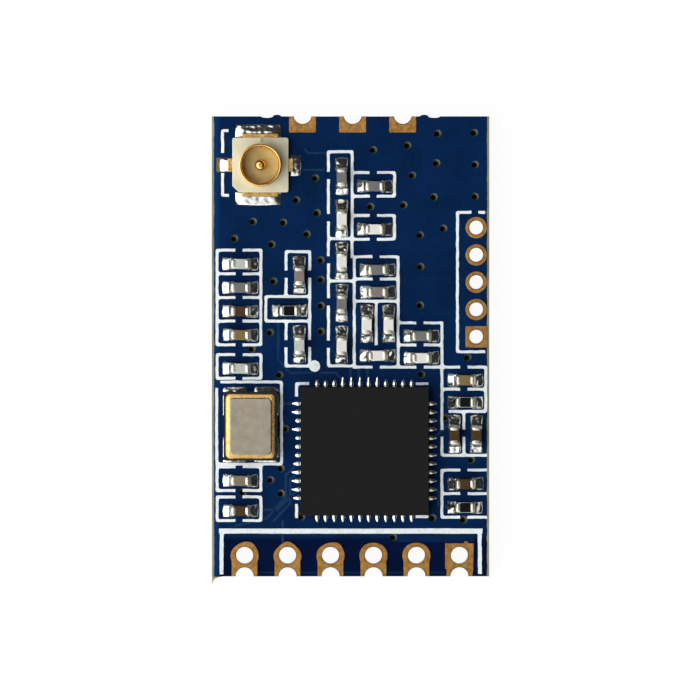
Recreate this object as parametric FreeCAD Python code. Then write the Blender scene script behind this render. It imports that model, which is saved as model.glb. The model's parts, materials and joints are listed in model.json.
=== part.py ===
import FreeCAD, Part
import math
import os

from FreeCAD import Vector

# A small radio module: a two-layer board with a transceiver chip, a crystal, a coaxial antenna socket,
# thirty chip parts, two rows of plated holes and two rows of edge contacts.
# Lengths are in millimetres. +Z is up from the board towards its parts, +Y runs towards the antenna end,
# and the origin is under the middle of the board, on the plane it rests on.
# The board is as wide and as long as what it carries, with the clearances named here.

# Board
board_thickness = 1.0
copper_thickness = 0.03
land_relief_margin = 0.12
cut_overshoot = 1.0

# Flats that stand in for a round land, within 0.013 mm of the circle, and for a barrel inside the board
land_sides = 16
barrel_sides = 6

# What is left of the break-off tabs on the top edge and of the corner at the bottom left
tab_mark_x = 3.42
tab_bump_half_width = 0.19
tab_bump_height = 0.075
tab_dip_half_width = 0.28
tab_dip_depth = 0.07
corner_sliver_width = 0.52
corner_sliver_length = 0.38
corner_sliver_hollow = 0.1

# Main row of holes along the bottom edge, with half holes in the edge below them
main_pitch = 2.0
main_count = 6
main_hole_radius = 0.4
main_land_ring = 0.25
main_hole_web = 0.15
main_square_land_width = 1.33
main_square_land_reach = 0.57
edge_hole_radius = 0.42
edge_land_ring = 0.18

# Side row of holes along the right edge
side_pitch = 1.27
side_count = 5
side_hole_radius = 0.325
side_land_ring = 0.175
side_land_margin = 0.1

# Edge contacts in the top edge
top_pitch = 2.33
top_count = 3
top_middle_x = 0.1
top_land_shoulder = 0.205
top_land_depth = 0.76
top_hole_overhang = 0.07

# Printed legend: its lines, and how far the whole print lies off the copper
ink_thickness = 0.02
ink_width = 0.13
frame_ink_width = 0.175
header_ink_width = 0.235
dot_radius = 0.26
print_shift_x = -0.07
print_shift_y = 0.09
print_clearance = 0.025
frame_gap_width = 0.34

# Transceiver chip: a flat leadless package with leads flush with its sides and a heat pad below
chip_height = 0.85
chip_lead_pitch = 0.4
chip_leads_per_side = 12
chip_corner_margin = 0.675
chip_lead_width = 0.2
chip_lead_length = 0.4
chip_lead_thickness = 0.2
chip_heat_pad_clearance = 0.375
chip_solder_reach = 0.32
chip_solder_height = 0.16

# Crystal: a ceramic tray, a seam ring and a lid, with the quartz blank inside
crystal_width = 2.5
crystal_length = 3.2
crystal_base_height = 0.48
crystal_wall = 0.4
crystal_floor = 0.18
crystal_corner_notch = 0.2
crystal_terminal_width = 1.0
crystal_terminal_length = 0.9
crystal_terminal_thickness = 0.03
seam_ring_inset = 0.09
seam_ring_height = 0.12
seam_ring_corner = 0.2
seam_ring_bevel = 0.08
lid_inset = 0.32
lid_corner = 0.1
lid_thickness = 0.08
ledge_length = 0.4
ledge_height = 0.08
blank_clearance = 0.15
blank_thickness = 0.05
crystal_solder_reach_above = 0.22
crystal_solder_reach_below = 0.08
crystal_solder_height = 0.24

# Coaxial antenna socket
insulator_width = 2.61
insulator_length = 2.54
insulator_height = 0.38
insulator_chamfer = 0.33
insulator_mark_width = 0.12
insulator_mark_length = 0.18
insulator_mark_depth = 0.05
ring_radius = 1.0
ring_bore_radius = 0.845
ring_waist_radius = 0.93
ring_foot_radius = 0.98
ring_height = 1.2
ring_lip_length = 0.42
ring_lip_bevel = 0.045
ring_mouth_bevel = 0.06
ring_waist_drop = 0.16
shell_plate_thickness = 0.12
ground_tab_width = 1.66
ground_tab_reach = 0.19
side_lead_width = 0.62
side_lead_reach = 0.22
signal_strip_thickness = 0.08
signal_strip_clearance = 0.1
signal_pin_radius = 0.25
signal_pin_height = 0.95
signal_pin_bevel = 0.09
signal_pin_root_height = 0.28
ground_solder_width = 2.12
ground_solder_reach = 0.45
signal_solder_width = 0.95
ground_lead_solder_width = 0.68
side_solder_reach = 0.38
socket_solder_height = 0.12
socket_solder_toe = 0.03

# Chip capacitors, inductors and resistors of one size
chip_part_length = 1.0
chip_part_width = 0.5
chip_part_height = 0.5
resistor_height = 0.35
resistor_coat_thickness = 0.03
end_cap_length = 0.24
end_cap_wrap = 0.015
part_solder_reach = 0.3
part_solder_overhang = 0.02
part_solder_share = 0.62

# Clearances in the printed frames: from a chip part's solder to the nearest edge of the ink
end_clearance = 0.155
loose_end_clearance = 0.18
short_end_clearance = 0.12
head_clearance = 0.245
side_clearance = 0.215
loose_side_clearance = 0.235
tight_side_clearance = 0.18

# Chip parts in the tallest stack of the left hand column, and in the middle column
left_upper_count = 4
middle_count = 5

# Distances across the board, from its left edge to its right one
frame_margin_left = 0.31
frame_margin_right = 0.09
column_gap = 0.23
middle_gap = 0.87
middle_block_gap = 0.1
crystal_edge_clearance = 0.55
crystal_frame_side = 0.255
chip_crystal_clearance = 1.075
chip_group_clearance = 0.695
header_margin_left = 0.52
header_margin_right = 0.365
header_end_clearance = 0.35
side_frame_reach = 0.31
side_frame_overlap = 0.08

# Distances along the board, from its bottom edge to its top one
header_foot_margin = 0.1
header_clearance = 0.4
left_header_gap = 0.49
left_frame_gap = 0.3
left_block_gap = 0.46
crystal_gap_below = 0.13
crystal_gap_above = 0.17
crystal_frame_head = 0.14
crystal_upper_clearance = 0.69
chip_header_clearance = 0.855
chip_upper_clearance = 0.825
right_header_gap = 0.64
right_group_gap = 0.69
column_lift = 0.05
lower_part_lift = 0.11
beside_block_gap = 0.82
beside_frame_gap = 0.9
middle_top_margin = 1.73
side_row_gap = 0.71
side_frame_foot = 0.29
side_frame_head = 0.12
least_top_clearance = 1.0

# Legend marks round the crystal, the chip, the right hand group and the socket
crystal_frame_start = 0.23
crystal_frame_drop = 0.35
chip_mark_length = 0.53
chip_mark_clearance = 0.08
chip_mark_foot_clearance = 0.03
chip_mark_side_clearance = 0.125
dot_offset = 0.22
right_row_start = 0.38
block_divider_foot = 0.065
socket_frame_reach = 0.385
socket_frame_overlap = 0.23
socket_frame_tick = 0.22
socket_frame_clearance = 0.135
socket_edge_clearance = 0.355
socket_top_clearance = 0.35

UP = Vector(0, 0, 1)
top_of_board = board_thickness


def cell_along(clearance):
    """Distance between the frame lines beyond the two ends of a chip part."""
    return chip_part_length + 2 * (part_solder_reach + clearance) + ink_width


def cell_across(clearance):
    """Distance between the frame lines beside a chip part."""
    return chip_part_width + 2 * (part_solder_overhang + clearance) + ink_width


def steps(start, *sizes):
    """A starting level and the levels after each further size."""
    levels = [start]
    for size in sizes:
        levels.append(levels[-1] + size)
    return levels


def middles(levels):
    return [(a + b) / 2 for a, b in zip(levels, levels[1:])]


long_cell = cell_along(end_clearance)
open_cell = cell_across(side_clearance)
tight_cell = cell_across(tight_side_clearance)
loose_long_cell = cell_along(loose_end_clearance)
loose_cell = cell_across(loose_side_clearance)
chip_size = chip_lead_pitch * (chip_leads_per_side - 1) + chip_lead_width + 2 * chip_corner_margin
main_land_radius = main_hole_radius + main_land_ring
main_inset = edge_hole_radius + main_hole_web + main_hole_radius
side_land_radius = side_hole_radius + side_land_ring

# Insets from the left edge, and the board's width: wide enough for the crystal and the chip side by side,
# for the columns above them and for the main row
chip_inset = crystal_edge_clearance + crystal_width + chip_crystal_clearance
second_column_inset = frame_margin_left + 2 * long_cell + column_gap
middle_inset = second_column_inset + middle_gap
right_group_inset = max(
    chip_inset + chip_size + chip_group_clearance,
    middle_inset + open_cell + middle_block_gap + 2 * long_cell,
)
main_row_inset = header_margin_left + header_end_clearance + main_land_radius
main_row_end = main_row_inset + main_pitch * (main_count - 1) + main_square_land_width / 2
board_width = max(
    right_group_inset + long_cell + frame_margin_right,
    main_row_end + header_end_clearance + header_margin_right,
)
half_width = board_width / 2

# Heights above the bottom edge, and the board's length: long enough for the middle column, for the side row
# and for the left hand column with the socket above it
header_height = main_inset + main_land_radius + header_clearance
crystal_frame_end = ink_width / 2 + print_shift_y + print_clearance
left_lower_height = header_height + left_header_gap
crystal_frame_height = left_lower_height + 2 * open_cell + left_frame_gap + crystal_gap_below
crystal_height = crystal_frame_height + crystal_frame_end + crystal_solder_reach_below
crystal_frame_top_height = crystal_height + crystal_length + crystal_solder_reach_above + crystal_frame_head
left_single_height = crystal_frame_top_height + crystal_gap_above
left_upper_height = left_single_height + open_cell + left_block_gap
left_top_height = left_upper_height + left_upper_count * open_cell
chip_foot_height = header_height + chip_header_clearance
right_lower_height = header_height + right_header_gap
right_upper_height = right_lower_height + 2 * open_cell + right_group_gap
upper_height = max(
    chip_foot_height + chip_size + chip_upper_clearance,
    right_upper_height + long_cell + 2 * tight_cell,
    crystal_frame_top_height + crystal_upper_clearance,
)
middle_pitch = chip_part_length + 2 * (part_solder_reach + print_shift_y + print_clearance) + ink_width
middle_first_height = upper_height + column_lift + long_cell / 2
middle_head = chip_part_length / 2 + part_solder_reach + head_clearance + ink_width / 2
middle_top_height = middle_first_height + (middle_count - 1) * middle_pitch + middle_head
side_last_height = upper_height + side_row_gap + side_frame_foot + side_land_radius
side_top_height = side_last_height + side_pitch * (side_count - 1) + side_land_radius
socket_reach = insulator_length / 2 + ground_tab_reach + ground_solder_reach
board_length = max(
    middle_top_height + middle_top_margin,
    side_top_height + side_frame_head + least_top_clearance,
    left_top_height + least_top_clearance + 2 * socket_reach + socket_top_clearance,
)
half_length = board_length / 2

# Places on the board, from its middle
main_row_y = main_inset - half_length
side_row_x = half_width - side_land_margin - side_land_radius
header_y = header_height - half_length
crystal_x = crystal_edge_clearance + crystal_width / 2 - half_width
crystal_y = crystal_height + crystal_length / 2 - half_length
chip_x = chip_inset + chip_size / 2 - half_width
chip_y = chip_foot_height + chip_size / 2 - half_length
socket_x = socket_edge_clearance + side_solder_reach + side_lead_reach + insulator_width / 2 - half_width
socket_y = half_length - socket_top_clearance - socket_reach
upper_y = upper_height - half_length

# Frame lines of the columns across the board
left_xs = steps(frame_margin_left - half_width, long_cell)
second_right_x = second_column_inset - half_width
right_xs = steps(right_group_inset - half_width, long_cell)
block_xs = steps(right_xs[0] - 2 * long_cell, long_cell, long_cell)
middle_xs = steps(block_xs[0] - middle_block_gap - open_cell, open_cell)
beside_xs = steps(middle_xs[1], cell_along(short_end_clearance))
left_x = middles(left_xs)[0]
narrow_x = second_right_x - open_cell / 2
middle_x = middles(middle_xs)[0]
beside_x = middles(beside_xs)[0]
block_x, beyond_x = middles(block_xs)
right_x = middles(right_xs)[0]

# Frame lines of the rows, each list from its lowest line up
left_lower_ys = steps(left_lower_height - half_length, open_cell, left_frame_gap, open_cell)
left_single_ys = steps(left_single_height - half_length, open_cell)
left_upper_ys = steps(left_upper_height - half_length, *[open_cell] * left_upper_count)
second_ys = steps(upper_y + column_lift, loose_long_cell, loose_cell, loose_long_cell)
block_ys = steps(upper_y, tight_cell, long_cell, tight_cell, tight_cell)
beyond_ys = steps(upper_y, tight_cell, tight_cell)
beside_ys = steps(block_ys[-1] + beside_block_gap, open_cell, beside_frame_gap, open_cell)
right_upper_ys = steps(upper_y - long_cell - 2 * tight_cell, long_cell, tight_cell, tight_cell)
right_lower_ys = steps(right_lower_height - half_length, open_cell, open_cell)
middle_part_ys = [middle_first_height - half_length + middle_pitch * i for i in range(middle_count)]
middle_top_y = middle_top_height - half_length

# Kind, centre x, centre y, and whether the part lies along Y
CHIP_PARTS = [
    ("inductor", left_x, middles(left_upper_ys)[3], False),
    ("capacitor", left_x, middles(left_upper_ys)[2], False),
    ("capacitor", left_x, middles(left_upper_ys)[1], False),
    ("capacitor", left_x, middles(left_upper_ys)[0], False),
    ("inductor", left_x, middles(left_single_ys)[0], False),
    ("capacitor", left_x, middles(left_lower_ys)[2], False),
    ("capacitor", left_x, middles(left_lower_ys)[0], False),
    ("capacitor", narrow_x, middles(second_ys)[2], True),
    ("resistor", second_right_x - long_cell / 2, middles(second_ys)[1], False),
    ("inductor", narrow_x, middles(second_ys)[0], True),
    ("capacitor", middle_x, middle_part_ys[4], True),
    ("inductor", middle_x, middle_part_ys[3], True),
    ("inductor", middle_x, middle_part_ys[2], True),
    ("capacitor", middle_x, middle_part_ys[1], True),
    ("inductor", middle_x, middle_part_ys[0], True),
    ("capacitor", beside_x, middles(beside_ys)[2], False),
    ("inductor", beside_x, middles(beside_ys)[0], False),
    ("capacitor", block_x, middles(block_ys)[3], False),
    ("capacitor", block_x, middles(block_ys)[2], False),
    ("inductor", block_x - long_cell / 4, middles(block_ys)[1], True),
    ("inductor", block_x + long_cell / 4, middles(block_ys)[1], True),
    ("inductor", block_x, middles(block_ys)[0] + lower_part_lift, False),
    ("capacitor", beyond_x, middles(beyond_ys)[1], False),
    ("inductor", beyond_x, middles(beyond_ys)[0], False),
    ("capacitor", right_x, middles(right_upper_ys)[2], False),
    ("resistor", right_x, middles(right_upper_ys)[1], False),
    ("capacitor", right_x - long_cell / 4, middles(right_upper_ys)[0], True),
    ("capacitor", right_x + long_cell / 4, middles(right_upper_ys)[0], True),
    ("capacitor", right_x, middles(right_lower_ys)[1], False),
    ("resistor", right_x, middles(right_lower_ys)[0], False),
]


def block(x0, x1, y0, y1, z0, z1):
    return Part.makeBox(x1 - x0, y1 - y0, z1 - z0, Vector(x0, y0, z0))


def centred_block(x, y, z0, size_x, size_y, height):
    return block(x - size_x / 2, x + size_x / 2, y - size_y / 2, y + size_y / 2, z0, z0 + height)


def post(x, y, radius, z0, z1):
    return Part.makeCylinder(radius, z1 - z0, Vector(x, y, z0))


def through_post(x, y, radius):
    """A cutter for a hole through the board and the lands on it."""
    return post(x, y, radius, -cut_overshoot, board_thickness + cut_overshoot)


def flat_sided_post(x, y, radius, sides, z0, z1):
    """A regular prism about a circle, turned so that one of its corners faces along X."""
    corner = radius / math.cos(math.pi / sides)
    angles = [2 * math.pi * i / sides for i in range(sides)]
    points = [Vector(x + corner * math.cos(a), y + corner * math.sin(a), z0) for a in angles]
    return prism(points, UP * (z1 - z0))


def land_disc(x, y, radius, z0, z1):
    return flat_sided_post(x, y, radius, land_sides, z0, z1)


def barrel_blank(x, y, hole_radius, z0, z1):
    """A plated barrel before its hole is opened: the board's own hole has the same outline."""
    return flat_sided_post(x, y, hole_radius + copper_thickness, barrel_sides, z0, z1)


def fused(shapes):
    return shapes[0].multiFuse(shapes[1:]).removeSplitter()


def prism(points, direction):
    """A closed outline of straight edges, pushed along a direction."""
    return Part.Face(Part.makePolygon(points + points[:1])).extrude(direction)


def clipped_plate(x, y, z0, size_x, size_y, height, corner):
    """A plate with its four upright edges cut off."""
    plate = centred_block(x, y, z0, size_x, size_y, height)
    upright = [e for e in plate.Edges if abs(e.tangentAt(e.FirstParameter).z) > 0.9]
    return plate.makeChamfer(corner, upright)


def save(name, shapes):
    solids = [s for shape in shapes for s in shape.Solids]
    Part.makeCompound(solids).exportStep(f"parts/{name}.step")


def main_hole_xs():
    return [main_row_inset - half_width + main_pitch * i for i in range(main_count)]


def side_hole_ys():
    """From the top hole down."""
    last = side_last_height - half_length
    return [last + side_pitch * i for i in reversed(range(side_count))]


def top_hole_xs():
    first = top_middle_x - top_pitch * (top_count - 1) / 2
    return [first + top_pitch * i for i in range(top_count)]


def arc(start, through, end):
    return Part.Arc(Vector(*start), Vector(*through), Vector(*end)).toShape()


def line(start, end):
    return Part.makeLine(Vector(*start), Vector(*end))


def tab_mark(side):
    """Edges of one tab mark from left to right: the bump is on the inner side and the dip outside it."""
    bump_x = side * tab_mark_x
    inner = bump_x - side * tab_bump_half_width
    shared = bump_x + side * tab_bump_half_width
    outer = shared + side * 2 * tab_dip_half_width
    dip_x = (shared + outer) / 2
    bump = [(inner, half_length, 0), (bump_x, half_length + tab_bump_height, 0), (shared, half_length, 0)]
    dip = [(shared, half_length, 0), (dip_x, half_length - tab_dip_depth, 0), (outer, half_length, 0)]
    if side > 0:
        return [bump, dip]
    return [dip[::-1], bump[::-1]]


def board_outline():
    """The routed outline, anticlockwise from the bottom right corner, with its snapped-off remains."""
    tip = (-half_width, -half_length - corner_sliver_length, 0)
    root = (-half_width + corner_sliver_width, -half_length, 0)
    hollow = (
        (tip[0] + root[0]) / 2 - corner_sliver_hollow / math.sqrt(2),
        (tip[1] + root[1]) / 2 + corner_sliver_hollow / math.sqrt(2),
        0,
    )
    top_left = (-half_width, half_length, 0)
    top_right = (half_width, half_length, 0)
    bottom_right = (half_width, -half_length, 0)
    edges = [arc(root, hollow, tip), line(tip, top_left)]
    here = top_left
    for start, through, end in tab_mark(-1) + tab_mark(1):
        if (Vector(*start) - Vector(*here)).Length > 1e-6:
            edges.append(line(here, start))
        edges.append(arc(start, through, end))
        here = end
    edges += [line(here, top_right), line(top_right, bottom_right), line(bottom_right, root)]
    return Part.Face(Part.Wire(Part.__sortEdges__(edges)))


def edge_hole_centres():
    bottom = [(x, -half_length) for x in main_hole_xs()]
    top = [(x, half_length + top_hole_overhang) for x in top_hole_xs()]
    return bottom + top


def land_reliefs():
    """Shallow strips without solder mask on the underside, where the lands lie flush."""
    m = land_relief_margin
    half_land = main_square_land_width / 2
    xs = main_hole_xs()
    ys = side_hole_ys()
    tops = top_hole_xs()
    half_top = edge_hole_radius + top_land_shoulder
    main = block(
        xs[0] - half_land - m, xs[-1] + half_land + m,
        -half_length - cut_overshoot, main_row_y + main_land_radius + m,
        0, copper_thickness,
    )
    side = block(
        side_row_x - side_land_radius - m, half_width + cut_overshoot,
        ys[-1] - side_land_radius - m, ys[0] + side_land_radius + m,
        0, copper_thickness,
    )
    top = block(
        tops[0] - half_top - m, tops[-1] + half_top + m,
        half_length - top_land_depth - m, half_length + cut_overshoot,
        0, copper_thickness,
    )
    return [main, side, top]


def circuit_board():
    plate = board_outline().extrude(UP * board_thickness)
    z0 = -cut_overshoot
    z1 = board_thickness + cut_overshoot
    cuts = [barrel_blank(x, main_row_y, main_hole_radius, z0, z1) for x in main_hole_xs()]
    cuts += [barrel_blank(side_row_x, y, side_hole_radius, z0, z1) for y in side_hole_ys()]
    cuts += [barrel_blank(x, y, edge_hole_radius, z0, z1) for x, y in edge_hole_centres()]
    return plate.cut(cuts + land_reliefs())


def land_levels():
    """Lower and upper levels of the two lands of a contact, the lower one flush with the underside."""
    return ((0, copper_thickness), (top_of_board, top_of_board + copper_thickness))


def inside_board(shape):
    """Trim a contact to the straight edges of the board."""
    return shape.common(block(-half_width, half_width, -half_length, half_length, 0, 2 * top_of_board))


def main_land(x, square, z0, z1):
    half_tail = edge_hole_radius + edge_land_ring
    tail = block(x - half_tail, x + half_tail, -half_length, main_row_y, z0, z1)
    if square:
        half = main_square_land_width / 2
        head = block(
            x - half, x + half, main_row_y - main_land_radius, main_row_y + main_square_land_reach, z0, z1
        )
    else:
        head = land_disc(x, main_row_y, main_land_radius, z0, z1)
    return [tail, head]


def main_contact(x, square):
    """A keyhole land above and below, a plated hole, and a plated half hole in the board's edge."""
    z_top = top_of_board + copper_thickness
    copper = [barrel_blank(x, main_row_y, main_hole_radius, 0, z_top)]
    copper.append(barrel_blank(x, -half_length, edge_hole_radius, 0, z_top))
    for z0, z1 in land_levels():
        copper += main_land(x, square, z0, z1)
    holes = [through_post(x, main_row_y, main_hole_radius), through_post(x, -half_length, edge_hole_radius)]
    return inside_board(fused(copper).cut(holes))


def side_contact(y, square):
    copper = [barrel_blank(side_row_x, y, side_hole_radius, 0, top_of_board + copper_thickness)]
    for z0, z1 in land_levels():
        if square:
            size = 2 * side_land_radius
            copper.append(centred_block(side_row_x, y, z0, size, size, z1 - z0))
        else:
            copper.append(land_disc(side_row_x, y, side_land_radius, z0, z1))
    return fused(copper).cut([through_post(side_row_x, y, side_hole_radius)])


def top_contact(x):
    centre_y = half_length + top_hole_overhang
    z_top = top_of_board + copper_thickness
    copper = [barrel_blank(x, centre_y, edge_hole_radius, 0, z_top)]
    for z0, z1 in land_levels():
        half = edge_hole_radius + top_land_shoulder
        copper.append(block(x - half, x + half, half_length - top_land_depth, half_length, z0, z1))
    return inside_board(fused(copper).cut([through_post(x, centre_y, edge_hole_radius)]))


def ink_block(x0, x1, y0, y1):
    return block(x0, x1, y0, y1, top_of_board, top_of_board + ink_thickness)


def inked_runs(start, end, gaps, width, gap_width):
    """Where ink lies between two corners: it runs on by half a line at both, and stops at every gap."""
    edges = [min(start, end) - width / 2, max(start, end) + width / 2]
    for middle in gaps:
        edges += [middle - gap_width / 2, middle + gap_width / 2]
    edges.sort()
    return list(zip(edges[::2], edges[1::2]))


def ink_row(y, ends, gaps=(), width=ink_width, gap_width=frame_gap_width):
    runs = inked_runs(ends[0], ends[-1], gaps, width, gap_width)
    return [ink_block(a, b, y - width / 2, y + width / 2) for a, b in runs]


def ink_column(x, ends, gaps=(), width=ink_width, gap_width=frame_gap_width):
    runs = inked_runs(ends[0], ends[-1], gaps, width, gap_width)
    return [ink_block(x - width / 2, x + width / 2, a, b) for a, b in runs]


def left_frames():
    strokes = []
    for ys in (left_lower_ys[:2], left_lower_ys[2:], left_single_ys, left_upper_ys):
        for y in ys:
            strokes += ink_row(y, left_xs, [left_x])
        for x in left_xs:
            strokes += ink_column(x, ys)
    return strokes


def second_frames():
    """The second column: its middle part lies across it, and the chip's dot is at its foot."""
    narrow_left_x = second_right_x - open_cell
    wide_left_x = second_right_x - long_cell
    low_y, _, high_y = middles(second_ys)
    strokes = []
    for y in (second_ys[0], second_ys[3]):
        strokes += ink_row(y, (narrow_left_x, second_right_x))
    for y in second_ys[1:3]:
        strokes += ink_row(y, (wide_left_x, second_right_x))
    strokes += ink_column(wide_left_x, second_ys[1:3])
    strokes += ink_column(narrow_left_x, second_ys[:2], [low_y])
    strokes += ink_column(narrow_left_x, second_ys[2:], [high_y])
    strokes += ink_column(second_right_x, second_ys, [low_y, high_y])
    dot_x = second_right_x + dot_offset
    strokes.append(land_disc(dot_x, second_ys[0], dot_radius, top_of_board, top_of_board + ink_thickness))
    return strokes


def middle_frames():
    """The middle column of five parts, and the two frames on its right."""
    rungs = middles(middle_part_ys)[1:3]
    strokes = []
    for y in [second_ys[0]] + rungs + [middle_top_y]:
        strokes += ink_row(y, middle_xs)
    strokes += ink_column(middle_xs[0], (second_ys[0], middle_top_y), middle_part_ys)
    strokes += ink_column(middle_xs[1], (block_ys[-1], middle_top_y))
    for ys in (beside_ys[:2], beside_ys[2:]):
        strokes += ink_column(beside_xs[1], ys)
        for y in ys:
            strokes += ink_row(y, beside_xs, [beside_x])
    return strokes


def block_frames():
    """The block of parts above the chip, with the two parts on its right."""
    strokes = ink_row(upper_y, (block_xs[0], right_xs[1]), [block_x, beyond_x, right_x])
    strokes += ink_row(block_ys[2], block_xs[:2])
    for y in block_ys[3:]:
        strokes += ink_row(y, block_xs[:2], [block_x])
    for y in beyond_ys[1:]:
        strokes += ink_row(y, block_xs[1:], [beyond_x])
    for x in block_xs[:2]:
        strokes += ink_column(x, block_ys)
    return strokes + ink_column(block_x, (block_ys[1] + block_divider_foot, block_ys[2]))


def right_frames():
    """The right hand group of six parts and the frame of the side row of holes."""
    pair_y = middles(right_upper_ys)[0]
    strokes = ink_row(right_upper_ys[0], right_xs)
    strokes += ink_row(right_upper_ys[1], (right_xs[0] + right_row_start, right_xs[1]))
    strokes += ink_row(right_upper_ys[2], right_xs, [right_x])
    for y in right_lower_ys:
        strokes += ink_row(y, right_xs, [right_x])
    strokes += ink_column(right_xs[0], right_lower_ys)
    strokes += ink_column(right_xs[0], (right_upper_ys[0], beyond_ys[-1]), [pair_y])
    strokes += ink_column(right_x, right_upper_ys[:2], [pair_y])
    strokes += ink_column(right_xs[1], right_upper_ys[1:])
    ys = side_hole_ys()
    foot_y = ys[-1] - side_land_radius - side_frame_foot
    head_y = ys[0] + side_land_radius + side_frame_head
    side_x = side_row_x - side_land_radius - side_frame_reach
    ends = (side_x, side_row_x + side_land_radius - side_frame_overlap)
    strokes += ink_row(foot_y, ends)
    strokes += ink_row(head_y, ends, [side_row_x])
    return strokes + ink_column(side_x, (foot_y, head_y))


def crystal_frame():
    """A frame with an open corner at the top left, which shows how the crystal lies."""
    xs = [crystal_x + side * (crystal_width / 2 + crystal_frame_side) for side in (-1, 1)]
    foot_y = crystal_frame_height - half_length
    head_y = crystal_frame_top_height - half_length
    strokes = ink_row(foot_y, xs) + ink_row(head_y, (xs[0] + crystal_frame_start, xs[1]))
    strokes += ink_column(xs[0], (foot_y, head_y - crystal_frame_drop))
    return strokes + ink_column(xs[1], (foot_y, head_y))


def chip_marks():
    """Lines at three corners of the chip, clear of it in print."""
    half = chip_size / 2
    left_x = chip_x - half - chip_mark_side_clearance - ink_width / 2 - print_shift_x
    head_y = chip_y + half + chip_mark_clearance + ink_width / 2 - print_shift_y
    foot_y = chip_y - half - chip_mark_foot_clearance - ink_width / 2 - print_shift_y
    right = (chip_x + half - chip_mark_length + ink_width / 2, chip_x + half)
    strokes = ink_row(head_y, right) + ink_row(foot_y, right)
    strokes += ink_row(head_y, (left_x, left_x + chip_mark_length))
    strokes += ink_column(left_x, (head_y - chip_mark_length, head_y))
    return strokes + ink_column(left_x, (foot_y, foot_y + chip_mark_length))


def header_frame():
    left = header_margin_left - half_width
    right = half_width - header_margin_right
    strokes = ink_row(header_y, (left, right), width=header_ink_width)
    for x in (left, right):
        strokes += ink_column(x, (header_foot_margin - half_length, header_y), width=frame_ink_width)
    return strokes


def socket_frame():
    """A line on the left of the socket, open where its lead is soldered, with a tick at both ends."""
    x = socket_x - insulator_width / 2 - socket_frame_reach
    reach = insulator_length / 2 + socket_frame_overlap
    ys = (socket_y - reach, socket_y + reach)
    opening = ground_lead_solder_width + 2 * socket_frame_clearance
    strokes = ink_column(x, ys, [socket_y], gap_width=opening)
    for y in ys:
        strokes += ink_row(y, (x, x + socket_frame_tick))
    return strokes


def silkscreen_legend():
    strokes = left_frames() + second_frames() + middle_frames() + block_frames() + right_frames()
    strokes += crystal_frame() + chip_marks() + header_frame() + socket_frame()
    legend = fused(strokes)
    legend.translate(Vector(print_shift_x, print_shift_y, 0))
    return legend


def around_chip(shape):
    """The same shape on the chip's four sides, given for the side that faces +X."""
    centre = Vector(chip_x, chip_y, 0)
    copies = []
    for turn in range(4):
        copy = shape.copy()
        copy.rotate(centre, UP, 90 * turn)
        copies.append(copy)
    return copies


def chip_lead_offsets():
    first = -chip_lead_pitch * (chip_leads_per_side - 1) / 2
    return [first + chip_lead_pitch * i for i in range(chip_leads_per_side)]


def transceiver_chip_leads():
    edge = chip_x + chip_size / 2
    leads = []
    for offset in chip_lead_offsets():
        y = chip_y + offset
        leads += around_chip(
            block(
                edge - chip_lead_length, edge, y - chip_lead_width / 2, y + chip_lead_width / 2,
                top_of_board, top_of_board + chip_lead_thickness,
            )
        )
    return leads


def transceiver_chip_heat_pad():
    size = chip_size - 2 * (chip_lead_length + chip_heat_pad_clearance)
    return centred_block(chip_x, chip_y, top_of_board, size, size, chip_lead_thickness)


def transceiver_chip_body(leads, heat_pad):
    body = centred_block(chip_x, chip_y, top_of_board, chip_size, chip_size, chip_height)
    return body.cut(leads + [heat_pad])


def solder_wedge(x, y0, y1, reach, height, level=top_of_board):
    """A fillet that leans on an upright face at x and runs out along +X."""
    points = [Vector(x, y0, level), Vector(x + reach, y0, level), Vector(x, y0, level + height)]
    return prism(points, Vector(0, y1 - y0, 0))


def transceiver_chip_solder():
    edge = chip_x + chip_size / 2
    fillets = []
    for offset in chip_lead_offsets():
        y = chip_y + offset
        h = chip_lead_width / 2
        fillets += around_chip(solder_wedge(edge, y - h, y + h, chip_solder_reach, chip_solder_height))
    return fillets


def crystal_corners():
    hx = crystal_width / 2
    hy = crystal_length / 2
    return [(crystal_x + sx * hx, crystal_y + sy * hy, sx, sy) for sx in (-1, 1) for sy in (-1, 1)]


def crystal_seat():
    return top_of_board + crystal_terminal_thickness


def crystal_cavity_size():
    return crystal_width - 2 * crystal_wall, crystal_length - 2 * crystal_wall


def crystal_base():
    """A ceramic tray with a ledge for the quartz at one end and a metallised notch at each corner."""
    z0 = crystal_seat()
    tray = centred_block(crystal_x, crystal_y, z0, crystal_width, crystal_length, crystal_base_height)
    size_x, size_y = crystal_cavity_size()
    cavity = centred_block(crystal_x, crystal_y, z0 + crystal_floor, size_x, size_y, crystal_base_height)
    ledge_y = crystal_y - size_y / 2
    ledge = block(
        crystal_x - size_x / 2, crystal_x + size_x / 2, ledge_y, ledge_y + ledge_length,
        z0 + crystal_floor, z0 + crystal_floor + ledge_height,
    )
    cut = crystal_corner_notch
    notches = [
        prism(
            [Vector(x, y, z0), Vector(x - sx * cut, y, z0), Vector(x, y - sy * cut, z0)],
            UP * crystal_base_height,
        )
        for x, y, sx, sy in crystal_corners()
    ]
    return tray.cut(cavity.cut(ledge)).cut(notches)


def crystal_quartz_blank():
    size_x, size_y = crystal_cavity_size()
    z0 = crystal_seat() + crystal_floor + ledge_height
    gap = 2 * blank_clearance
    return centred_block(crystal_x, crystal_y, z0, size_x - gap, size_y - gap, blank_thickness)


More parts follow.
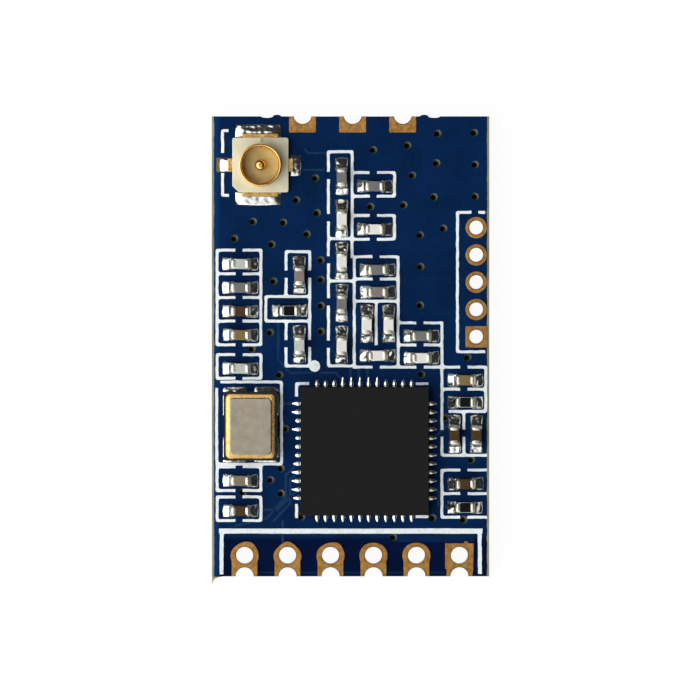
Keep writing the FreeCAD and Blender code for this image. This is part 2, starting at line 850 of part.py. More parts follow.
def crystal_seam_ring():
    """A metal frame on the tray, its outer edge bevelled down where it was seam welded."""
    z0 = crystal_seat() + crystal_base_height
    size_x = crystal_width - 2 * seam_ring_inset
    size_y = crystal_length - 2 * seam_ring_inset
    ring = clipped_plate(crystal_x, crystal_y, z0, size_x, size_y, seam_ring_height, seam_ring_corner)
    top = z0 + seam_ring_height
    rim = [e for e in ring.Edges if abs(e.BoundBox.ZMin - top) < 1e-6 and e.BoundBox.ZLength < 1e-6]
    ring = ring.makeChamfer(seam_ring_bevel, rim)
    inner_x, inner_y = crystal_cavity_size()
    return ring.cut(centred_block(crystal_x, crystal_y, z0, inner_x, inner_y, seam_ring_height))


def crystal_lid():
    z0 = crystal_seat() + crystal_base_height + seam_ring_height
    size_x = crystal_width - 2 * lid_inset
    size_y = crystal_length - 2 * lid_inset
    return clipped_plate(crystal_x, crystal_y, z0, size_x, size_y, lid_thickness, lid_corner)


def crystal_terminals():
    pads = []
    for x, y, sx, sy in crystal_corners():
        far_x = x - sx * crystal_terminal_width
        far_y = y - sy * crystal_terminal_length
        x0, x1 = sorted((x, far_x))
        y0, y1 = sorted((y, far_y))
        pads.append(block(x0, x1, y0, y1, top_of_board, crystal_seat()))
    return pads


def crystal_solder():
    """Fillets on the two short sides, one for each terminal."""
    edge = crystal_length / 2
    inner = crystal_width / 2 - crystal_terminal_width
    outer = crystal_width / 2
    fillets = []
    for side_y, reach in ((-1, crystal_solder_reach_below), (1, crystal_solder_reach_above)):
        for side_x in (-1, 1):
            y0, y1 = sorted((side_x * inner, side_x * outer))
            wedge = solder_wedge(edge, y0, y1, reach, crystal_solder_height)
            wedge.rotate(Vector(0, 0, 0), UP, 90 * side_y)
            wedge.translate(Vector(crystal_x, crystal_y, 0))
            fillets.append(wedge)
    return fillets


def socket_ring():
    """The turned part of the shell: a bevelled lip that a plug snaps over, with a waist below it."""
    bottom = top_of_board + shell_plate_thickness
    top = top_of_board + ring_height
    lip_bottom = top - ring_lip_length
    section = [
        Vector(ring_bore_radius, 0, bottom),
        Vector(ring_foot_radius, 0, bottom),
        Vector(ring_waist_radius, 0, lip_bottom - ring_waist_drop),
        Vector(ring_radius, 0, lip_bottom),
        Vector(ring_radius, 0, top - ring_lip_bevel),
        Vector(ring_radius - ring_lip_bevel, 0, top),
        Vector(ring_bore_radius + ring_mouth_bevel, 0, top),
        Vector(ring_bore_radius, 0, top - ring_mouth_bevel),
    ]
    ring = Part.Face(Part.makePolygon(section + section[:1])).revolve(Vector(0, 0, 0), UP, 360)
    ring.translate(Vector(socket_x, socket_y, 0))
    return ring


def signal_strip(width, thickness):
    """The flat strip from the centre pin out to the right hand pad."""
    end = socket_x + insulator_width / 2 + side_lead_reach
    z0 = top_of_board
    return block(socket_x, end, socket_y - width / 2, socket_y + width / 2, z0, z0 + thickness)


def antenna_socket_shell():
    """Ring, ground tabs above and below, and a third lead on the left, in one piece."""
    z0 = top_of_board
    z1 = z0 + shell_plate_thickness
    tab_y = insulator_length / 2 + ground_tab_reach
    tabs = block(
        socket_x - ground_tab_width / 2, socket_x + ground_tab_width / 2,
        socket_y - tab_y, socket_y + tab_y, z0, z1,
    )
    seat = centred_block(socket_x, socket_y, z0, 2 * ring_radius, 2 * ring_radius, shell_plate_thickness)
    lead = block(
        socket_x - insulator_width / 2 - side_lead_reach, socket_x,
        socket_y - side_lead_width / 2, socket_y + side_lead_width / 2, z0, z1,
    )
    bore = post(socket_x, socket_y, ring_bore_radius, z0, z1)
    slot = signal_strip(side_lead_width + 2 * signal_strip_clearance, shell_plate_thickness)
    return fused([socket_ring(), tabs, seat, lead]).cut([bore, slot]).removeSplitter()


def antenna_socket_contact():
    """The centre pin, bevelled at its tip, on a square root and the strip that carries the signal."""
    z0 = top_of_board
    bevel = signal_pin_bevel
    shoulder = z0 + signal_pin_height - bevel
    root = centred_block(socket_x, socket_y, z0, side_lead_width, side_lead_width, signal_pin_root_height)
    pin = post(socket_x, socket_y, signal_pin_radius, z0, shoulder)
    tip = Part.makeCone(
        signal_pin_radius, signal_pin_radius - bevel, bevel, Vector(socket_x, socket_y, shoulder)
    )
    return fused([root, pin, tip, signal_strip(side_lead_width, signal_strip_thickness)])


def antenna_socket_insulator(shell, contact):
    """A moulded block round the metal parts, with one corner cut off and a pin mark on its top edge."""
    z0 = top_of_board
    body = centred_block(socket_x, socket_y, z0, insulator_width, insulator_length, insulator_height)
    x = socket_x - insulator_width / 2
    y = socket_y - insulator_length / 2
    c = insulator_chamfer
    corner = prism([Vector(x, y, z0), Vector(x + c, y, z0), Vector(x, y + c, z0)], UP * insulator_height)
    top = z0 + insulator_height
    mark_y = socket_y + insulator_length / 2 - insulator_mark_length
    mark = block(
        socket_x - insulator_mark_width / 2, socket_x + insulator_mark_width / 2,
        mark_y, mark_y + insulator_mark_length, top - insulator_mark_depth, top,
    )
    return body.cut([corner, mark, shell, contact])


def socket_solder(width, reach, start, turn):
    """Solder in front of a tab that ends at a distance from the socket's middle, turned to its side."""
    z0 = top_of_board
    points = [
        Vector(start, -width / 2, z0),
        Vector(start + reach, -width / 2, z0),
        Vector(start + reach, -width / 2, z0 + socket_solder_toe),
        Vector(start, -width / 2, z0 + socket_solder_height),
    ]
    solder = prism(points, Vector(0, width, 0))
    solder.rotate(Vector(0, 0, 0), UP, turn)
    solder.translate(Vector(socket_x, socket_y, 0))
    return solder


def antenna_socket_solder():
    half = insulator_length / 2
    side_start = insulator_width / 2 + side_lead_reach
    return [
        socket_solder(ground_solder_width, ground_solder_reach, half + ground_tab_reach, 90),
        socket_solder(ground_solder_width, ground_solder_reach, half + ground_tab_reach, 270),
        socket_solder(signal_solder_width, side_solder_reach, side_start, 0),
        socket_solder(ground_lead_solder_width, side_solder_reach, side_start, 180),
    ]


def placed(shapes, x, y, along_y):
    """Move pieces built about the origin, along X, to their place on the board."""
    for shape in shapes:
        if along_y:
            shape.rotate(Vector(0, 0, 0), UP, 90)
        shape.translate(Vector(x, y, 0))
    return shapes


def chip_part_height_of(kind):
    return resistor_height if kind == "resistor" else chip_part_height


def chip_part_body(kind):
    """The ceramic between the two end caps, a little slimmer than they are."""
    w = end_cap_wrap
    length = chip_part_length - 2 * end_cap_length
    height = chip_part_height_of(kind) - 2 * w
    if kind == "resistor":
        height -= resistor_coat_thickness
    return centred_block(0, 0, top_of_board + w, length, chip_part_width - 2 * w, height)


def resistor_coat():
    w = end_cap_wrap
    length = chip_part_length - 2 * end_cap_length
    z0 = top_of_board + resistor_height - w - resistor_coat_thickness
    return centred_block(0, 0, z0, length, chip_part_width - 2 * w, resistor_coat_thickness)


def end_caps(kind):
    offset = (chip_part_length - end_cap_length) / 2
    height = chip_part_height_of(kind)
    return [
        centred_block(side * offset, 0, top_of_board, end_cap_length, chip_part_width, height)
        for side in (-1, 1)
    ]


def part_solder(kind):
    h = chip_part_width / 2 + part_solder_overhang
    height = part_solder_share * chip_part_height_of(kind)
    right = solder_wedge(chip_part_length / 2, -h, h, part_solder_reach, height)
    left = right.copy()
    left.rotate(Vector(0, 0, 0), UP, 180)
    return [left, right]


def build_chip_parts():
    """One node for each ceramic body; caps, solder and coats are groups of like pieces."""
    counts = {}
    caps, solder, coats = [], [], []
    for kind, x, y, along_y in CHIP_PARTS:
        counts[kind] = counts.get(kind, 0) + 1
        save(f"{kind}_{counts[kind]:02d}", placed([chip_part_body(kind)], x, y, along_y))
        caps += placed(end_caps(kind), x, y, along_y)
        solder += placed(part_solder(kind), x, y, along_y)
        if kind == "resistor":
            coats += placed([resistor_coat()], x, y, along_y)
    save("chip_part_end_caps", caps)
    save("chip_part_solder", solder)
    save("resistor_coats", coats)


def build_board():
    save("circuit_board", [circuit_board()])
    save("silkscreen_legend", [silkscreen_legend()])
    xs = main_hole_xs()
    ys = side_hole_ys()
    save("main_row_contacts", [main_contact(x, x == xs[-1]) for x in xs])
    save("side_row_contacts", [side_contact(y, y == ys[-1]) for y in ys])
    save("top_edge_contacts", [top_contact(x) for x in top_hole_xs()])


def build_chip():
    leads = transceiver_chip_leads()
    heat_pad = transceiver_chip_heat_pad()
    save("transceiver_chip_body", [transceiver_chip_body(leads, heat_pad)])
    save("transceiver_chip_leads", leads)
    save("transceiver_chip_heat_pad", [heat_pad])
    save("transceiver_chip_solder", transceiver_chip_solder())


def build_crystal():
    save("crystal_base", [crystal_base()])
    save("crystal_quartz_blank", [crystal_quartz_blank()])
    save("crystal_seam_ring", [crystal_seam_ring()])
    save("crystal_lid", [crystal_lid()])
    save("crystal_terminals", crystal_terminals())
    save("crystal_solder", crystal_solder())


def build_socket():
    shell = antenna_socket_shell()
    contact = antenna_socket_contact()
    save("antenna_socket_shell", [shell])
    save("antenna_socket_contact", [contact])
    save("antenna_socket_insulator", [antenna_socket_insulator(shell, contact)])
    save("antenna_socket_solder", antenna_socket_solder())


os.makedirs("parts", exist_ok=True)
build_board()
build_chip()
build_crystal()
build_socket()
build_chip_parts()
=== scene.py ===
import json
import math
import random

import bmesh
import bpy
from mathutils import Matrix, Vector, noise


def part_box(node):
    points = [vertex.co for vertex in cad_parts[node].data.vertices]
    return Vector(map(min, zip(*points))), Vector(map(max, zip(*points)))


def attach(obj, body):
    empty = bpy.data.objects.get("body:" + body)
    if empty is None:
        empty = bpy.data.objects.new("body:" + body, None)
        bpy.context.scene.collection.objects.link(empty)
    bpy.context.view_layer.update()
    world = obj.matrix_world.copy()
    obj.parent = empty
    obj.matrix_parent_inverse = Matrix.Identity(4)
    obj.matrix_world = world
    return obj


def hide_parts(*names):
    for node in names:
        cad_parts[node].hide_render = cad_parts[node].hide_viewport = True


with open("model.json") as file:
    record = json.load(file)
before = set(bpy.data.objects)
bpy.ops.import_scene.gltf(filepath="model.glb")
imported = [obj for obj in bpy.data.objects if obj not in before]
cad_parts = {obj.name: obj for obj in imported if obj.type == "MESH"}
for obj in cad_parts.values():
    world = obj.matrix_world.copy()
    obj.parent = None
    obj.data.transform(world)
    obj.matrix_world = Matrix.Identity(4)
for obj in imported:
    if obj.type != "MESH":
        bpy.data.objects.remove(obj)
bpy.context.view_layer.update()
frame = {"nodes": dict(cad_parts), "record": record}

# Lengths in this script are millimetres, turned into metres when a mesh is finished
MM = 0.001

# The board's upper face, and how far its edges are from its middle
TOP = 1.0
HALF_WIDTH = 6.45
HALF_LENGTH = 10.7

# The camera looks down from far above at the middle of the picture, which is CAMERA_X and CAMERA_Y on the board.
# It stands a little aside of that place, because the photograph shows the inner walls of the holes on one side.
CAMERA_DISTANCE = 400.0
CAMERA_X = -0.026
CAMERA_Y = -0.165
CAMERA_ASIDE = (-3.0, 8.0)
FRAME_WIDTH = 32.55
SENSOR_WIDTH = 36.0

rng = random.Random(7)
mounts = {mount["name"]: mount for mount in frame["record"]["mounts"]}


def mount_xy(name):
    """Where the record has a mount, seen from above."""
    x, y, _ = mounts[name]["pos_m"]
    return x / MM, y / MM


def mount_radius(name):
    return mounts[name]["dims"]["r_mm"]


MAIN_HOLES = [mount_xy(f"main_hole_{i + 1}") for i in range(6)]
SIDE_HOLES = [mount_xy(f"side_hole_{i + 1}") for i in range(5)]
MAIN_HOLE_RADIUS = mount_radius("main_hole_1")
SIDE_HOLE_RADIUS = mount_radius("side_hole_1")
EDGE_HOLE_RADIUS = 0.42
TOP_EDGE_PITCH = 2.33
TOP_EDGE_HOLES = [(0.1 + TOP_EDGE_PITCH * i, HALF_LENGTH + 0.07) for i in (-1, 0, 1)]

# How thick the lands are, and the plating inside the holes
COPPER = 0.03


def box_mm(node):
    """The lowest and the highest corner of a CAD node."""
    low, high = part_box(node)
    return Vector(low) / MM, Vector(high) / MM


# Materials

def srgb(r, g, b):
    """A colour as a screen shows it, 0 to 255, as the linear colour that a shader needs."""
    def linear(v):
        v /= 255
        return v / 12.92 if v <= 0.04045 else ((v + 0.055) / 1.055) ** 2.4
    return (linear(r), linear(g), linear(b), 1.0)


def set_stops(ramp, stops):
    """Give a colour ramp these positions and colours."""
    elements = ramp.color_ramp.elements
    while len(elements) < len(stops):
        elements.new(0.5)
    for element, (position, colour) in zip(elements, stops):
        element.position = position
        element.color = colour


class Shader:
    """A node material with a few short calls for the nodes that this scene uses."""

    def __init__(self, name, roughness, metallic=0.0, specular=0.5):
        self.material = bpy.data.materials.new(name)
        self.material.use_nodes = True
        self.tree = self.material.node_tree
        self.principled = self.tree.nodes["Principled BSDF"]
        self.principled.inputs["Roughness"].default_value = roughness
        self.principled.inputs["Metallic"].default_value = metallic
        self.principled.inputs["Specular IOR Level"].default_value = specular
        self.place = self.node("ShaderNodeTexCoord").outputs["Object"]

    def node(self, kind, **settings):
        node = self.tree.nodes.new(kind)
        for key, value in settings.items():
            setattr(node, key, value)
        return node

    def link(self, source, target):
        self.tree.links.new(source, target)

    def noise(self, size, detail=3.0, stretch=(1.0, 1.0, 1.0)):
        """Noise with lumps of about this size in millimetres."""
        mapping = self.node("ShaderNodeMapping")
        mapping.inputs["Scale"].default_value = stretch
        self.link(self.place, mapping.inputs["Vector"])
        texture = self.node("ShaderNodeTexNoise")
        texture.inputs["Scale"].default_value = 1 / (size * MM)
        texture.inputs["Detail"].default_value = detail
        self.link(mapping.outputs["Vector"], texture.inputs["Vector"])
        return texture.outputs["Fac"]

    def ramp(self, value, stops):
        ramp = self.node("ShaderNodeValToRGB")
        set_stops(ramp, stops)
        self.link(value, ramp.inputs["Fac"])
        return ramp.outputs["Color"]

    def mix(self, factor, first, second):
        mix = self.node("ShaderNodeMix", data_type="RGBA")
        self.put(mix.inputs["Factor"], factor)
        sockets = [s for s in mix.inputs if s.type == "RGBA"]
        self.put(sockets[0], first)
        self.put(sockets[1], second)
        return [s for s in mix.outputs if s.type == "RGBA"][0]

    def put(self, socket, value):
        """Link an output to a socket, or set a plain value on it."""
        if isinstance(value, bpy.types.NodeSocket):
            self.link(value, socket)
        else:
            socket.default_value = value

    def math(self, operation, first, second=0.0):
        node = self.node("ShaderNodeMath", operation=operation)
        self.put(node.inputs[0], first)
        self.put(node.inputs[1], second)
        return node.outputs["Value"]

    def map_range(self, value, low, high, to_low, to_high):
        node = self.node("ShaderNodeMapRange")
        self.link(value, node.inputs["Value"])
        for name, number in zip(("From Min", "From Max", "To Min", "To Max"), (low, high, to_low, to_high)):
            node.inputs[name].default_value = number
        return node.outputs["Result"]

    def colour(self, value):
        self.put(self.principled.inputs["Base Color"], value)

    def roughness(self, value):
        self.put(self.principled.inputs["Roughness"], value)

    def bump(self, height, depth):
        """Relief of this many millimetres."""
        bump = self.node("ShaderNodeBump")
        bump.inputs["Distance"].default_value = depth * MM
        self.link(height, bump.inputs["Height"])
        self.link(bump.outputs["Normal"], self.principled.inputs["Normal"])

    def axis(self, name):
        split = self.node("ShaderNodeSeparateXYZ")
        self.link(self.place, split.inputs["Vector"])
        return split.outputs[name]

    def facing_up(self):
        """1 on level faces, 0 on upright ones."""
        split = self.node("ShaderNodeSeparateXYZ")
        self.link(self.node("ShaderNodeNewGeometry").outputs["True Normal"], split.inputs["Vector"])
        return self.math("GREATER_THAN", self.math("ABSOLUTE", split.outputs["Z"]), 0.6)


# The mask is darker below this line, where no copper lies under it, and stops short of the long edges
MASK_DARK_BELOW_Y = -8.8
MASK_HALF_WIDTH = HALF_WIDTH - 0.1

# The mask is lighter along the left edge, fully so as near as the first number, and not beyond the second
LEFT_RIM = (0.24, 0.42)


def board_material():
    """Blue mask on the level faces, bare laminate on the upright ones and along both long edges."""
    s = Shader("solder_mask_on_laminate", 0.5, specular=0.03)
    cloudy = s.noise(1.6, 4.0)
    mask = s.ramp(cloudy, [(0.3, srgb(1, 28, 64)), (0.7, srgb(3, 37, 82))])
    weave = s.noise(0.09, 2.0, (1.0, 0.25, 1.0))
    mask = s.mix(s.map_range(weave, 0.35, 0.7, 0.0, 0.2), mask, srgb(12, 52, 98))
    dark = s.ramp(cloudy, [(0.3, srgb(0, 12, 44)), (0.7, srgb(1, 18, 57))])
    fade = 0.2
    is_dark = s.map_range(s.axis("Y"), (MASK_DARK_BELOW_Y - fade) * MM, MASK_DARK_BELOW_Y * MM, 1.0, 0.0)
    mask = s.mix(is_dark, mask, dark)
    near, far = LEFT_RIM
    in_rim = s.map_range(s.axis("X"), (far - HALF_WIDTH) * MM, (near - HALF_WIDTH) * MM, 0.0, 1.0)
    mask = s.mix(in_rim, mask, srgb(8, 50, 100))
    plies = s.noise(0.3, 2.0, (0.15, 0.15, 5.0))
    laminate = s.ramp(plies, [(0.25, srgb(112, 114, 90)), (0.75, srgb(160, 160, 132))])
    in_sliver = s.map_range(s.axis("Y"), -(HALF_LENGTH + 0.1) * MM, -(HALF_LENGTH + 0.01) * MM, 0.8, 0.0)
    laminate = s.mix(in_sliver, laminate, srgb(188, 174, 92))
    ragged = s.math("MULTIPLY", s.math("SUBTRACT", s.noise(0.5, 2.0), 0.5), 0.08 * MM)
    reach = s.math("ADD", s.math("ABSOLUTE", s.axis("X")), ragged)
    masked = s.math("LESS_THAN", reach, MASK_HALF_WIDTH * MM)
    masked = s.math("MULTIPLY", masked, s.math("GREATER_THAN", s.axis("Y"), -(HALF_LENGTH + 0.02) * MM))
    masked = s.math("MULTIPLY", masked, s.facing_up())
    s.colour(s.mix(masked, laminate, mask))
    s.roughness(s.map_range(masked, 0.0, 1.0, 0.8, 0.45))
    s.bump(s.noise(0.22, 3.0), 0.004)
    return s.material


def raised_mask_material(name, low, high, specular=0.08):
    """Mask where it lies on copper: a little lighter and smoother than over laminate."""
    s = Shader(name, 0.4, specular=specular)
    s.colour(s.ramp(s.noise(0.8, 3.0), [(0.3, low), (0.7, high)]))
    s.bump(s.noise(0.15, 2.0), 0.003)
    return s.material


def ink_material():
    """White ink, thin enough in places for the mask to tint it."""
    s = Shader("legend_ink", 0.55, specular=0.3)
    s.colour(s.ramp(s.noise(0.16, 3.0), [(0.2, srgb(214, 226, 230)), (0.5, srgb(243, 248, 249))]))
    s.bump(s.noise(0.07, 3.0), 0.008)
    return s.material


def metal_material(name, dull, bright, grain, roughness, relief=0.004):
    """A metal whose colour and roughness drift over patches of the given size."""
    s = Shader(name, roughness, metallic=1.0)
    s.colour(s.ramp(s.noise(grain, 4.0), [(0.3, dull), (0.7, bright)]))
    spread = 0.06
    worn = s.noise(grain * 0.4, 3.0)
    s.roughness(s.map_range(worn, 0.3, 0.7, roughness - spread, roughness + spread))
    s.bump(s.noise(grain * 0.3, 3.0), relief)
    return s.material


def ceramic_material(name, dark, light, specular=0.2):
    """Speckled ceramic with lighter patches."""
    s = Shader(name, 0.5, specular=specular)
    speckle = s.ramp(s.noise(0.05, 4.0), [(0.3, dark), (0.7, light)])
    patches = s.map_range(s.noise(0.5, 2.0), 0.3, 0.7, 0.0, 0.6)
    s.colour(s.mix(patches, speckle, light))
    s.bump(s.noise(0.06, 3.0), 0.006)
    return s.material


def mould_material():
    """Matte black compound with a fine grain."""
    s = Shader("chip_mould", 0.7, specular=0.08)
    s.colour(s.ramp(s.noise(0.05, 5.0), [(0.3, srgb(22, 23, 22)), (0.7, srgb(33, 34, 33))]))
    s.bump(s.noise(0.04, 4.0), 0.01)
    return s.material


def plastic_material(name, dark, light):
    """Moulded plastic, a little cloudy."""
    s = Shader(name, 0.4, specular=0.4)
    s.colour(s.ramp(s.noise(0.7, 4.0), [(0.3, dark), (0.7, light)]))
    s.bump(s.noise(0.1, 3.0), 0.004)
    return s.material


def floor_material():
    """White to the camera and in reflections, with the object's shadow on it."""
    s = Shader("floor", 0.9, specular=0.0)
    s.colour((0.92, 0.92, 0.92, 1.0))
    path = s.node("ShaderNodeLightPath")
    seen = s.math("MAXIMUM", path.outputs["Is Camera Ray"], path.outputs["Is Glossy Ray"])
    seen = s.math("MAXIMUM", seen, path.outputs["Is Transmission Ray"])
    glow = s.node("ShaderNodeEmission")
    glow.inputs["Strength"].default_value = 1.02
    mix = s.node("ShaderNodeMixShader")
    s.link(s.math("MULTIPLY", seen, 0.93), mix.inputs["Fac"])
    s.link(s.principled.outputs["BSDF"], mix.inputs[1])
    s.link(glow.outputs["Emission"], mix.inputs[2])
    s.link(mix.outputs["Shader"], s.tree.nodes["Material Output"].inputs["Surface"])
    return s.material


BOARD = board_material()
TRACE_MASK = raised_mask_material("mask_on_copper", srgb(10, 42, 80), srgb(20, 56, 92))
BROAD_MASK = raised_mask_material("mask_on_broad_copper", srgb(4, 32, 70), srgb(8, 38, 78), 0.03)
HALO_MASK = raised_mask_material("mask_on_via", srgb(34, 52, 46), srgb(72, 76, 56), 0.4)
# The via bores are coloured near black: painted shade deep in each hole, added to the real shade that the hole's
# depth gives.
VIA_BORE_PAINTED_SHADE = metal_material("via_bore_painted_shade", srgb(18, 16, 14), srgb(40, 34, 26), 0.1, 0.6)
INK = ink_material()
PAD_GOLD = metal_material("pad_gold", srgb(146, 103, 52), srgb(188, 142, 78), 0.16, 0.42, 0.005)
LAND = metal_material("land_rim", srgb(104, 94, 54), srgb(140, 124, 76), 0.2, 0.5, 0.003)
SOCKET_GOLD = metal_material("socket_gold", srgb(222, 168, 88), srgb(250, 208, 130), 0.4, 0.2, 0.002)
SOLDER = metal_material("solder", srgb(214, 214, 208), srgb(242, 242, 238), 0.3, 0.2, 0.0012)
TIN = metal_material("tin_plate", srgb(206, 202, 188), srgb(234, 230, 216), 0.12, 0.32, 0.004)
LID = metal_material("lid_metal", srgb(156, 146, 130), srgb(172, 162, 146), 0.4, 0.42, 0.003)
SEAM = metal_material("seam_metal", srgb(226, 172, 92), srgb(250, 212, 142), 0.2, 0.28, 0.0025)
CREAM = plastic_material("cream_plastic", srgb(214, 208, 176), srgb(232, 227, 202))
# The plastic inside the ring is darker and more golden than the cream block: painted reflection of the gold ring
# walls and painted shade inside the ring, on plastic that is really cream.
RING_FLOOR_PAINTED_REFLECTION_AND_SHADE = plastic_material("plastic_in_ring_painted_reflection_and_shade", srgb(194, 170, 104), srgb(216, 192, 126))
MOULD = mould_material()
TRAY = ceramic_material("tray_ceramic", srgb(26, 23, 22), srgb(42, 36, 32))
COAT = ceramic_material("resistor_coat", srgb(10, 9, 8), srgb(22, 20, 18), 0.06)
ALUMINA = ceramic_material("alumina", srgb(206, 206, 200), srgb(232, 232, 226))
WHITE = ceramic_material("white_ceramic", srgb(172, 173, 167), srgb(206, 207, 200))
BRIGHT_WHITE = ceramic_material("bright_white_ceramic", srgb(216, 214, 206), srgb(240, 238, 230))
CAPACITOR_COLOURS = {
    "capacitor_grey": (srgb(94, 93, 91), srgb(124, 123, 120)),
    "capacitor_pink": (srgb(112, 101, 98), srgb(142, 129, 125)),
    "capacitor_brown": (srgb(46, 30, 10), srgb(80, 54, 24)),
    "capacitor_olive": (srgb(106, 90, 52), srgb(136, 118, 70)),
    "capacitor_beige": (srgb(112, 102, 86), srgb(138, 127, 107)),
}


# Meshes

def finish_piece(name, bm, materials, nodes):
    """Turn a millimetre mesh into a piece of the object that stands for the given CAD nodes."""
    mesh = bpy.data.meshes.new(name)
    bm.to_mesh(mesh)
    bm.free()
    mesh.transform(Matrix.Scale(MM, 4))
    for material in materials:
        mesh.materials.append(material)
    shade_smooth(mesh)
    piece = bpy.data.objects.new(name, mesh)
    bpy.context.scene.collection.objects.link(piece)
    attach(piece, "root")
    if nodes:
        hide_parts(*nodes)


def shade_smooth(mesh):
    """Shade smooth, apart from faces square to an axis and edges that turn sharply."""
    square, sharp = 0.9999, math.radians(40)
    for polygon in mesh.polygons:
        polygon.use_smooth = max(abs(part) for part in polygon.normal) < square
    bm = bmesh.new()
    bm.from_mesh(mesh)
    for edge in bm.edges:
        edge.smooth = len(edge.link_faces) != 2 or edge.calc_face_angle(0.0) < sharp
    bm.to_mesh(mesh)
    bm.free()


def placed(x, y, z, turn):
    """The place of a thing turned about an upright axis by this many degrees."""
    return Matrix.Translation((x, y, z)) @ Matrix.Rotation(math.radians(turn), 4, "Z")


def round_edges(bm, edges, radius, segments):
    bmesh.ops.bevel(
        bm, geom=edges, offset=radius, segments=segments, profile=0.5, affect="EDGES", clamp_overlap=True
    )


def soft_box(low, high, radius, segments=3):
    """A small mesh of a box with rounded edges."""
    part = bmesh.new()
    bmesh.ops.create_cube(part, size=1.0)
    bmesh.ops.scale(part, vec=Vector(high) - Vector(low), verts=part.verts)
    bmesh.ops.translate(part, vec=(Vector(high) + Vector(low)) / 2, verts=part.verts)
    round_edges(part, part.edges[:], radius, segments)
    return part


def add_part(bm, part, matrix=None, material=0):
    """Move a small mesh into a larger one."""
    if matrix is not None:
        bmesh.ops.transform(part, matrix=matrix, verts=part.verts)
    for face in part.faces:
        face.material_index = material
    scrap = bpy.data.meshes.new("scrap")
    part.to_mesh(scrap)
    part.free()
    bm.from_mesh(scrap)
    bpy.data.meshes.remove(scrap)


def add_grid(bm, rows, material=0):
    """Faces between equal rows of vertices."""
    for first, second in zip(rows, rows[1:]):
        for j in range(len(first) - 1):
            bm.faces.new([first[j], second[j], second[j + 1], first[j + 1]]).material_index = material


def add_turned(bm, x, y, profile, sides, start=0.0, sweep=360.0):
    """Turn a profile of (radius, height) points about an upright axis."""
    whole = sweep >= 360.0
    rings = []
    for i in range(sides if whole else sides + 1):
        angle = math.radians(start + sweep * i / sides)
        rings.append([bm.verts.new((x + r * math.cos(angle), y + r * math.sin(angle), z)) for r, z in profile])
    add_grid(bm, rings + rings[:1] if whole else rings)
    bmesh.ops.remove_doubles(bm, verts=[v for ring in rings for v in ring], dist=1e-6)


def arc_points(x, y, radius, start, end, steps):
    """Points of an arc between two angles in degrees."""
    angles = [math.radians(start + (end - start) * i / steps) for i in range(steps + 1)]
    return [(x + radius * math.cos(a), y + radius * math.sin(a)) for a in angles]


def circle_points(x, y, radius, steps=48):
    return arc_points(x, y, radius, 0, 360, steps)[:-1]


def rounded_rectangle(x, y, width, length, radius):
    """Corner points of a rectangle, anticlockwise."""
    points = []
    for side_x, side_y, start in ((1, 1, 0), (-1, 1, 90), (-1, -1, 180), (1, -1, 270)):
        corner_x = x + side_x * (width / 2 - radius)
        corner_y = y + side_y * (length / 2 - radius)
        points += arc_points(corner_x, corner_y, radius, start, start + 90, 6)
    return points


def level_loop(points, z):
    return [(x, y, z) for x, y in points]


def stepped_loops(x, y, width, length, radius, least, steps):
    """Level loops, each set in from the rectangle by a step's first number, at the height of its second."""
    loops = []
    for inset, z in steps:
        corner = max(radius - inset, least)
        loops.append(level_loop(rounded_rectangle(x, y, width - 2 * inset, length - 2 * inset, corner), z))
    return loops


def add_lofted(bm, loops, close_first=False, close_last=False, material=0):
    """Join equal loops of points, one after the other."""
    rings = [[bm.verts.new(p) for p in loop] for loop in loops]
    count = len(rings[0])
    for first, second in zip(rings, rings[1:]):
        for i in range(count):
            j = (i + 1) % count
            bm.faces.new([first[i], first[j], second[j], second[i]]).material_index = material
    if close_first:
        bm.faces.new(rings[0][::-1]).material_index = material
    if close_last:
        bm.faces.new(rings[-1]).material_index = material


def add_plate(bm, outlines, z0, z1, bevel, material=0):
    """A flat plate from closed outlines, the inner ones being holes, with softened edges."""
    curve = bpy.data.curves.new("plate", "CURVE")
    curve.dimensions = "2D"
    curve.fill_mode = "BOTH"
    curve.extrude = (z1 - z0) / 2 - bevel
    curve.bevel_depth = bevel
    curve.bevel_resolution = 1
    curve.offset = -bevel
    for outline in outlines:
        spline = curve.splines.new("POLY")
        spline.points.add(len(outline) - 1)
        for point, (x, y) in zip(spline.points, outline):
            point.co = (x, y, 0, 1)
        spline.use_cyclic_u = True
    maker = bpy.data.objects.new("plate", curve)
    mesh = bpy.data.meshes.new_from_object(maker)
    part = bmesh.new()
    part.from_mesh(mesh)
    bmesh.ops.remove_doubles(part, verts=part.verts, dist=1e-5)
    add_part(bm, part, Matrix.Translation((0, 0, (z0 + z1) / 2)), material)
    bpy.data.objects.remove(maker)
    bpy.data.curves.remove(curve)
    bpy.data.meshes.remove(mesh)


def add_joint(bm, x, y, turn, width, reach, climb, core, back=0.0, *, hollow, toe, lump, grid):
    """Solder on a pad that runs out from a part's end face by reach, and back beside the part by back.

    It climbs the part, which is as wide as the core, and thins out to a rounded rim as high as the toe. A high
    hollow makes it concave, and its face is uneven by about the lump.
    """
    half = width / 2
    spare = max(half - core / 2, 0.01)
    start = rng.uniform(0, 100)
    place = placed(x, y, TOP, turn)
    rows = []
    for i in range(grid + 1):
        along = -back + (reach + back) * i / grid
        beyond = min(max(along / reach, 0), 1)
        behind = min(max(-along / back, 0), 1) if back else 0
        row = []
        for j in range(grid + 1):
            u = 2 * j / grid - 1
            beside = max(abs(u) * half - core / 2, 0) / spare
            away = min(math.hypot(beyond, beside), 1)
            rim = ((1 - abs(u) ** 6) * (1 - beyond ** 6) * (1 - behind ** 6)) ** 0.5
            rise = toe if behind and not beside else (climb - toe) * (1 - away) ** hollow + toe
            rise += lump * noise.noise(Vector((along * 5, u * half * 5, start)))
            out = along * (1 - 0.1 * u * u * beyond)
            across = u * half * (1 - 0.12 * beyond ** 3)
            row.append(bm.verts.new(place @ Vector((out, across, max(rise * rim, 0)))))
        rows.append(row)
    add_grid(bm, rows)


